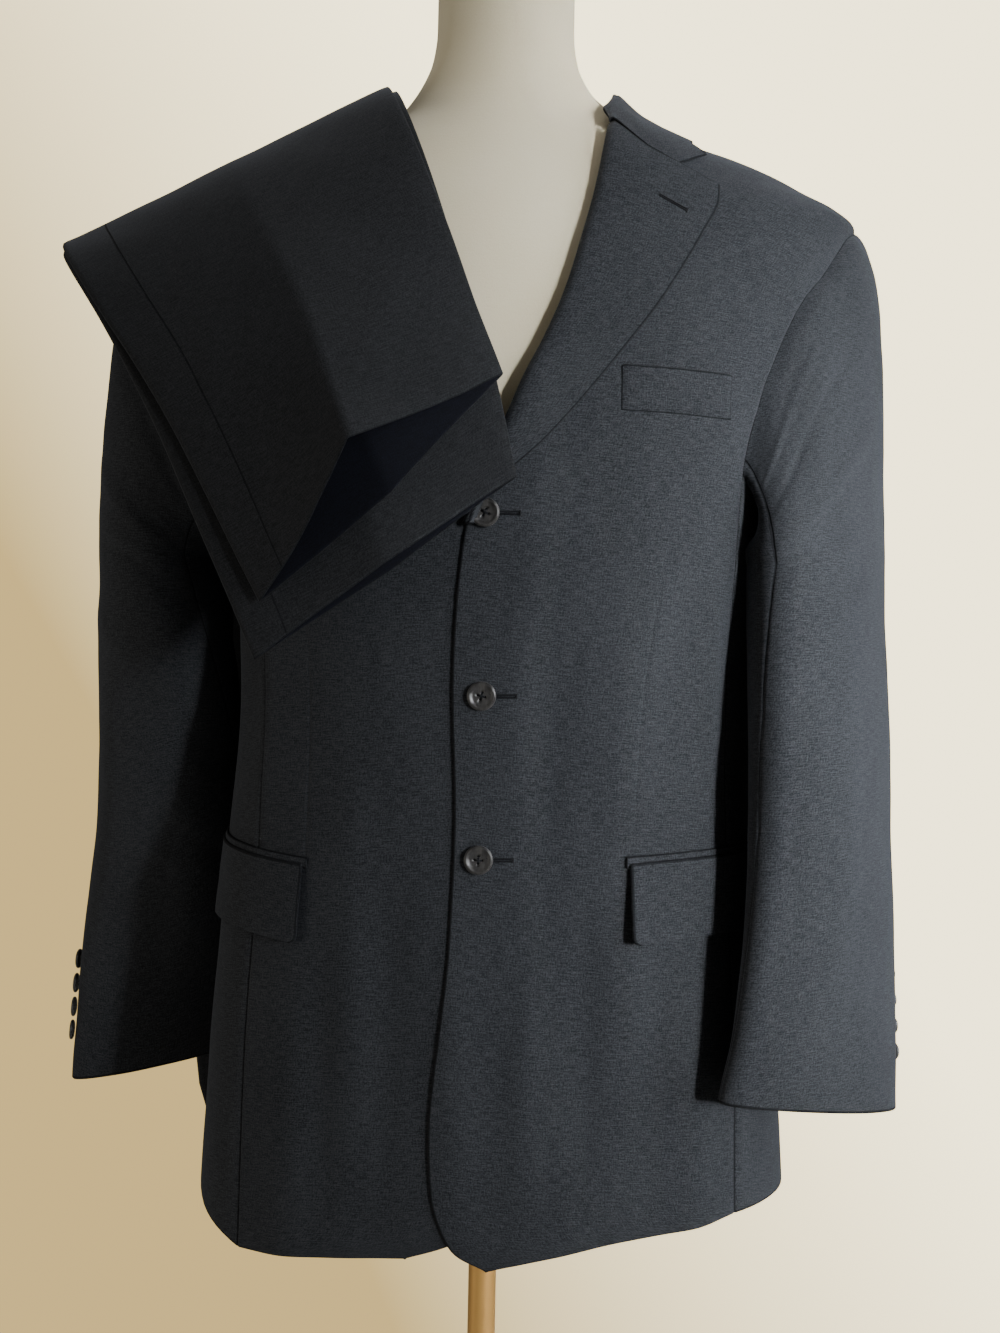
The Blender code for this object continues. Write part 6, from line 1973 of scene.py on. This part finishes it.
# Node, turned outline as radius and height, steps round it and place of each metal piece.
STAND = (
    ("neck_cap", ((0.0, 0.0), (0.0480, 0.0), (0.0492, 0.0012), (0.0496, 0.003), (0.0496, 0.006),
                  (0.0488, 0.0085), (0.0465, 0.0105), (0.040, 0.0115), (0.020, 0.012), (0.0, 0.012)),
     96, (0.0, FORM[-1][6], NECK_TOP + 0.1 * MM)),
    ("pole", ((0.0, 0.0), (POLE_RADIUS, 0.0), (POLE_RADIUS, 0.02), (POLE_RADIUS, POLE_LENGTH - 0.02),
              (POLE_RADIUS, POLE_LENGTH), (0.0, POLE_LENGTH)),
     64, (0.0, 0.0, BASE_HEIGHT + 0.2 * MM)),
    ("base", ((0.0, 0.0), (BASE_RADIUS - 0.001, 0.0), (BASE_RADIUS, 0.001), (BASE_RADIUS, 0.004),
              (BASE_RADIUS - 0.0008, 0.0058), (BASE_RADIUS - 0.003, 0.007),
              (BASE_RADIUS - 0.02, 0.0080), (0.08, 0.0100), (0.05, 0.011), (0.032, 0.0122),
              (0.024, 0.0136), (0.022, BASE_HEIGHT), (0.0, BASE_HEIGHT)),
     128, (0.0, 0.0, 0.0)),
)


def build_stand():
    metal = brass("stand_brass")
    for node, profile, steps, place in STAND:
        thing = turned_mesh("shown_" + node, profile, steps)
        thing.location = place
        dress(thing, metal, "brass", node)


# ---- floor, light and camera ----

CAMERA_PLACE = (0.0045, -1.135, 1.030)
CAMERA_ROLL = 1.1
CAMERA_LENS = 42.2
WALL_WARM = (0.307, 0.218, 0.083, 1.0)
WALL_COOL = (1.18, 1.04, 0.65, 1.0)
# Lean of the line between the two tones of the wall, and where they change.
WALL_SLANT = 0.55
WALL_CHANGE = (-0.27, 0.15)
AIR = (0.55, 0.53, 0.48, 1.0)
ROOM_LIGHT = 0.20
ROOM_SEEN = 3.0
DAYLIGHT = (0.93, 0.96, 1.0)
# Name, place, target, size, power, colour and spread of each light.
LIGHTS = (
    ("window", (2.35, -0.95, 1.60), (0.0, 0.0, 1.05), (1.5, 2.0), 60.0, DAYLIGHT, math.pi),
    ("fill", (-2.2, -0.7, 0.9), (0.0, 0.0, 0.9), (1.2, 1.6), 12.0, (1.0, 0.95, 0.86), math.pi),
    ("above", (0.2, 0.5, 3.0), (0.0, 0.0, 1.2), (1.6, 1.6), 14.0, (1.0, 0.98, 0.95), math.pi),
    ("glance", (1.60, -1.85, 1.25), (0.31, -0.05, 1.02), (0.35, 0.8), 3.6, DAYLIGHT,
     math.radians(22.0)),
)


def area_light(name, place, target, size, power, colour, spread):
    data = bpy.data.lights.new(name, "AREA")
    data.shape = "RECTANGLE"
    data.size, data.size_y = size
    data.energy = power
    data.color = colour
    data.spread = spread
    thing = shown_object(name, data)
    thing.location = place
    thing.rotation_euler = (Vector(target) - Vector(place)).to_track_quat("-Z", "Y").to_euler()


def build_floor():
    mesh = bpy.data.meshes.new("floor")
    shaped = bmesh.new()
    bmesh.ops.create_circle(shaped, cap_ends=True, segments=160, radius=1.15)
    shaped.to_mesh(mesh)
    shaped.free()
    floor = shown_object("floor", mesh)
    floor.location = (0.0, 0.0, -0.2 * MM)
    floor.data.materials.append(plaster("floor_plaster"))
    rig.stage(floor)


def build_room():
    """Warm and cool wall behind the suit, and an even light from all round."""
    world = bpy.data.worlds.new("studio")
    bpy.context.scene.world = world
    world.use_nodes = True
    tree = world.node_tree
    at = add_node(tree, "ShaderNodeTexCoord").outputs["Generated"]
    split = add_node(tree, "ShaderNodeSeparateXYZ")
    tree.links.new(at, split.inputs["Vector"])
    slant = maths(tree, "MULTIPLY", split.outputs["Z"], WALL_SLANT)
    side = ramp(tree, maths(tree, "ADD", split.outputs["X"], slant), *WALL_CHANGE, 0.0, 1.0)
    seen = add_node(tree, "ShaderNodeLightPath").outputs["Is Camera Ray"]
    wall = mixed(tree, side, WALL_WARM, WALL_COOL)
    tree.links.new(mixed(tree, seen, AIR, wall), tree.nodes["Background"].inputs["Color"])
    tree.links.new(ramp(tree, seen, 0.0, 1.0, ROOM_LIGHT, ROOM_SEEN),
                   tree.nodes["Background"].inputs["Strength"])


def build_camera():
    data = bpy.data.cameras.new("camera")
    data.lens = CAMERA_LENS
    data.sensor_width = 36.0
    data.sensor_fit = "AUTO"
    data.clip_start = 0.05
    camera = shown_object("camera", data)
    camera.matrix_world = (Matrix.Translation(CAMERA_PLACE) @ Matrix.Rotation(math.radians(90.0), 4, "X")
                           @ Matrix.Rotation(math.radians(CAMERA_ROLL), 4, "Z"))
    bpy.context.scene.camera = camera


# ---- build ----

cloth = {}
for build in (build_body, build_lapels, build_collar, build_sleeves, build_pockets, build_trousers):
    cloth.update(build())
build_buttons()
build_lapel_hole()
build_form()
build_stand()
build_floor()
build_room()
for light in LIGHTS:
    area_light(*light)
build_camera()

declare_sheets(cloth)
visual_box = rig.bounds()
with open("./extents.json", "w") as out:
    json.dump({"cad": [list(cad_box[0]), list(cad_box[1])],
               "visual": [list(visual_box[0]), list(visual_box[1])]}, out)
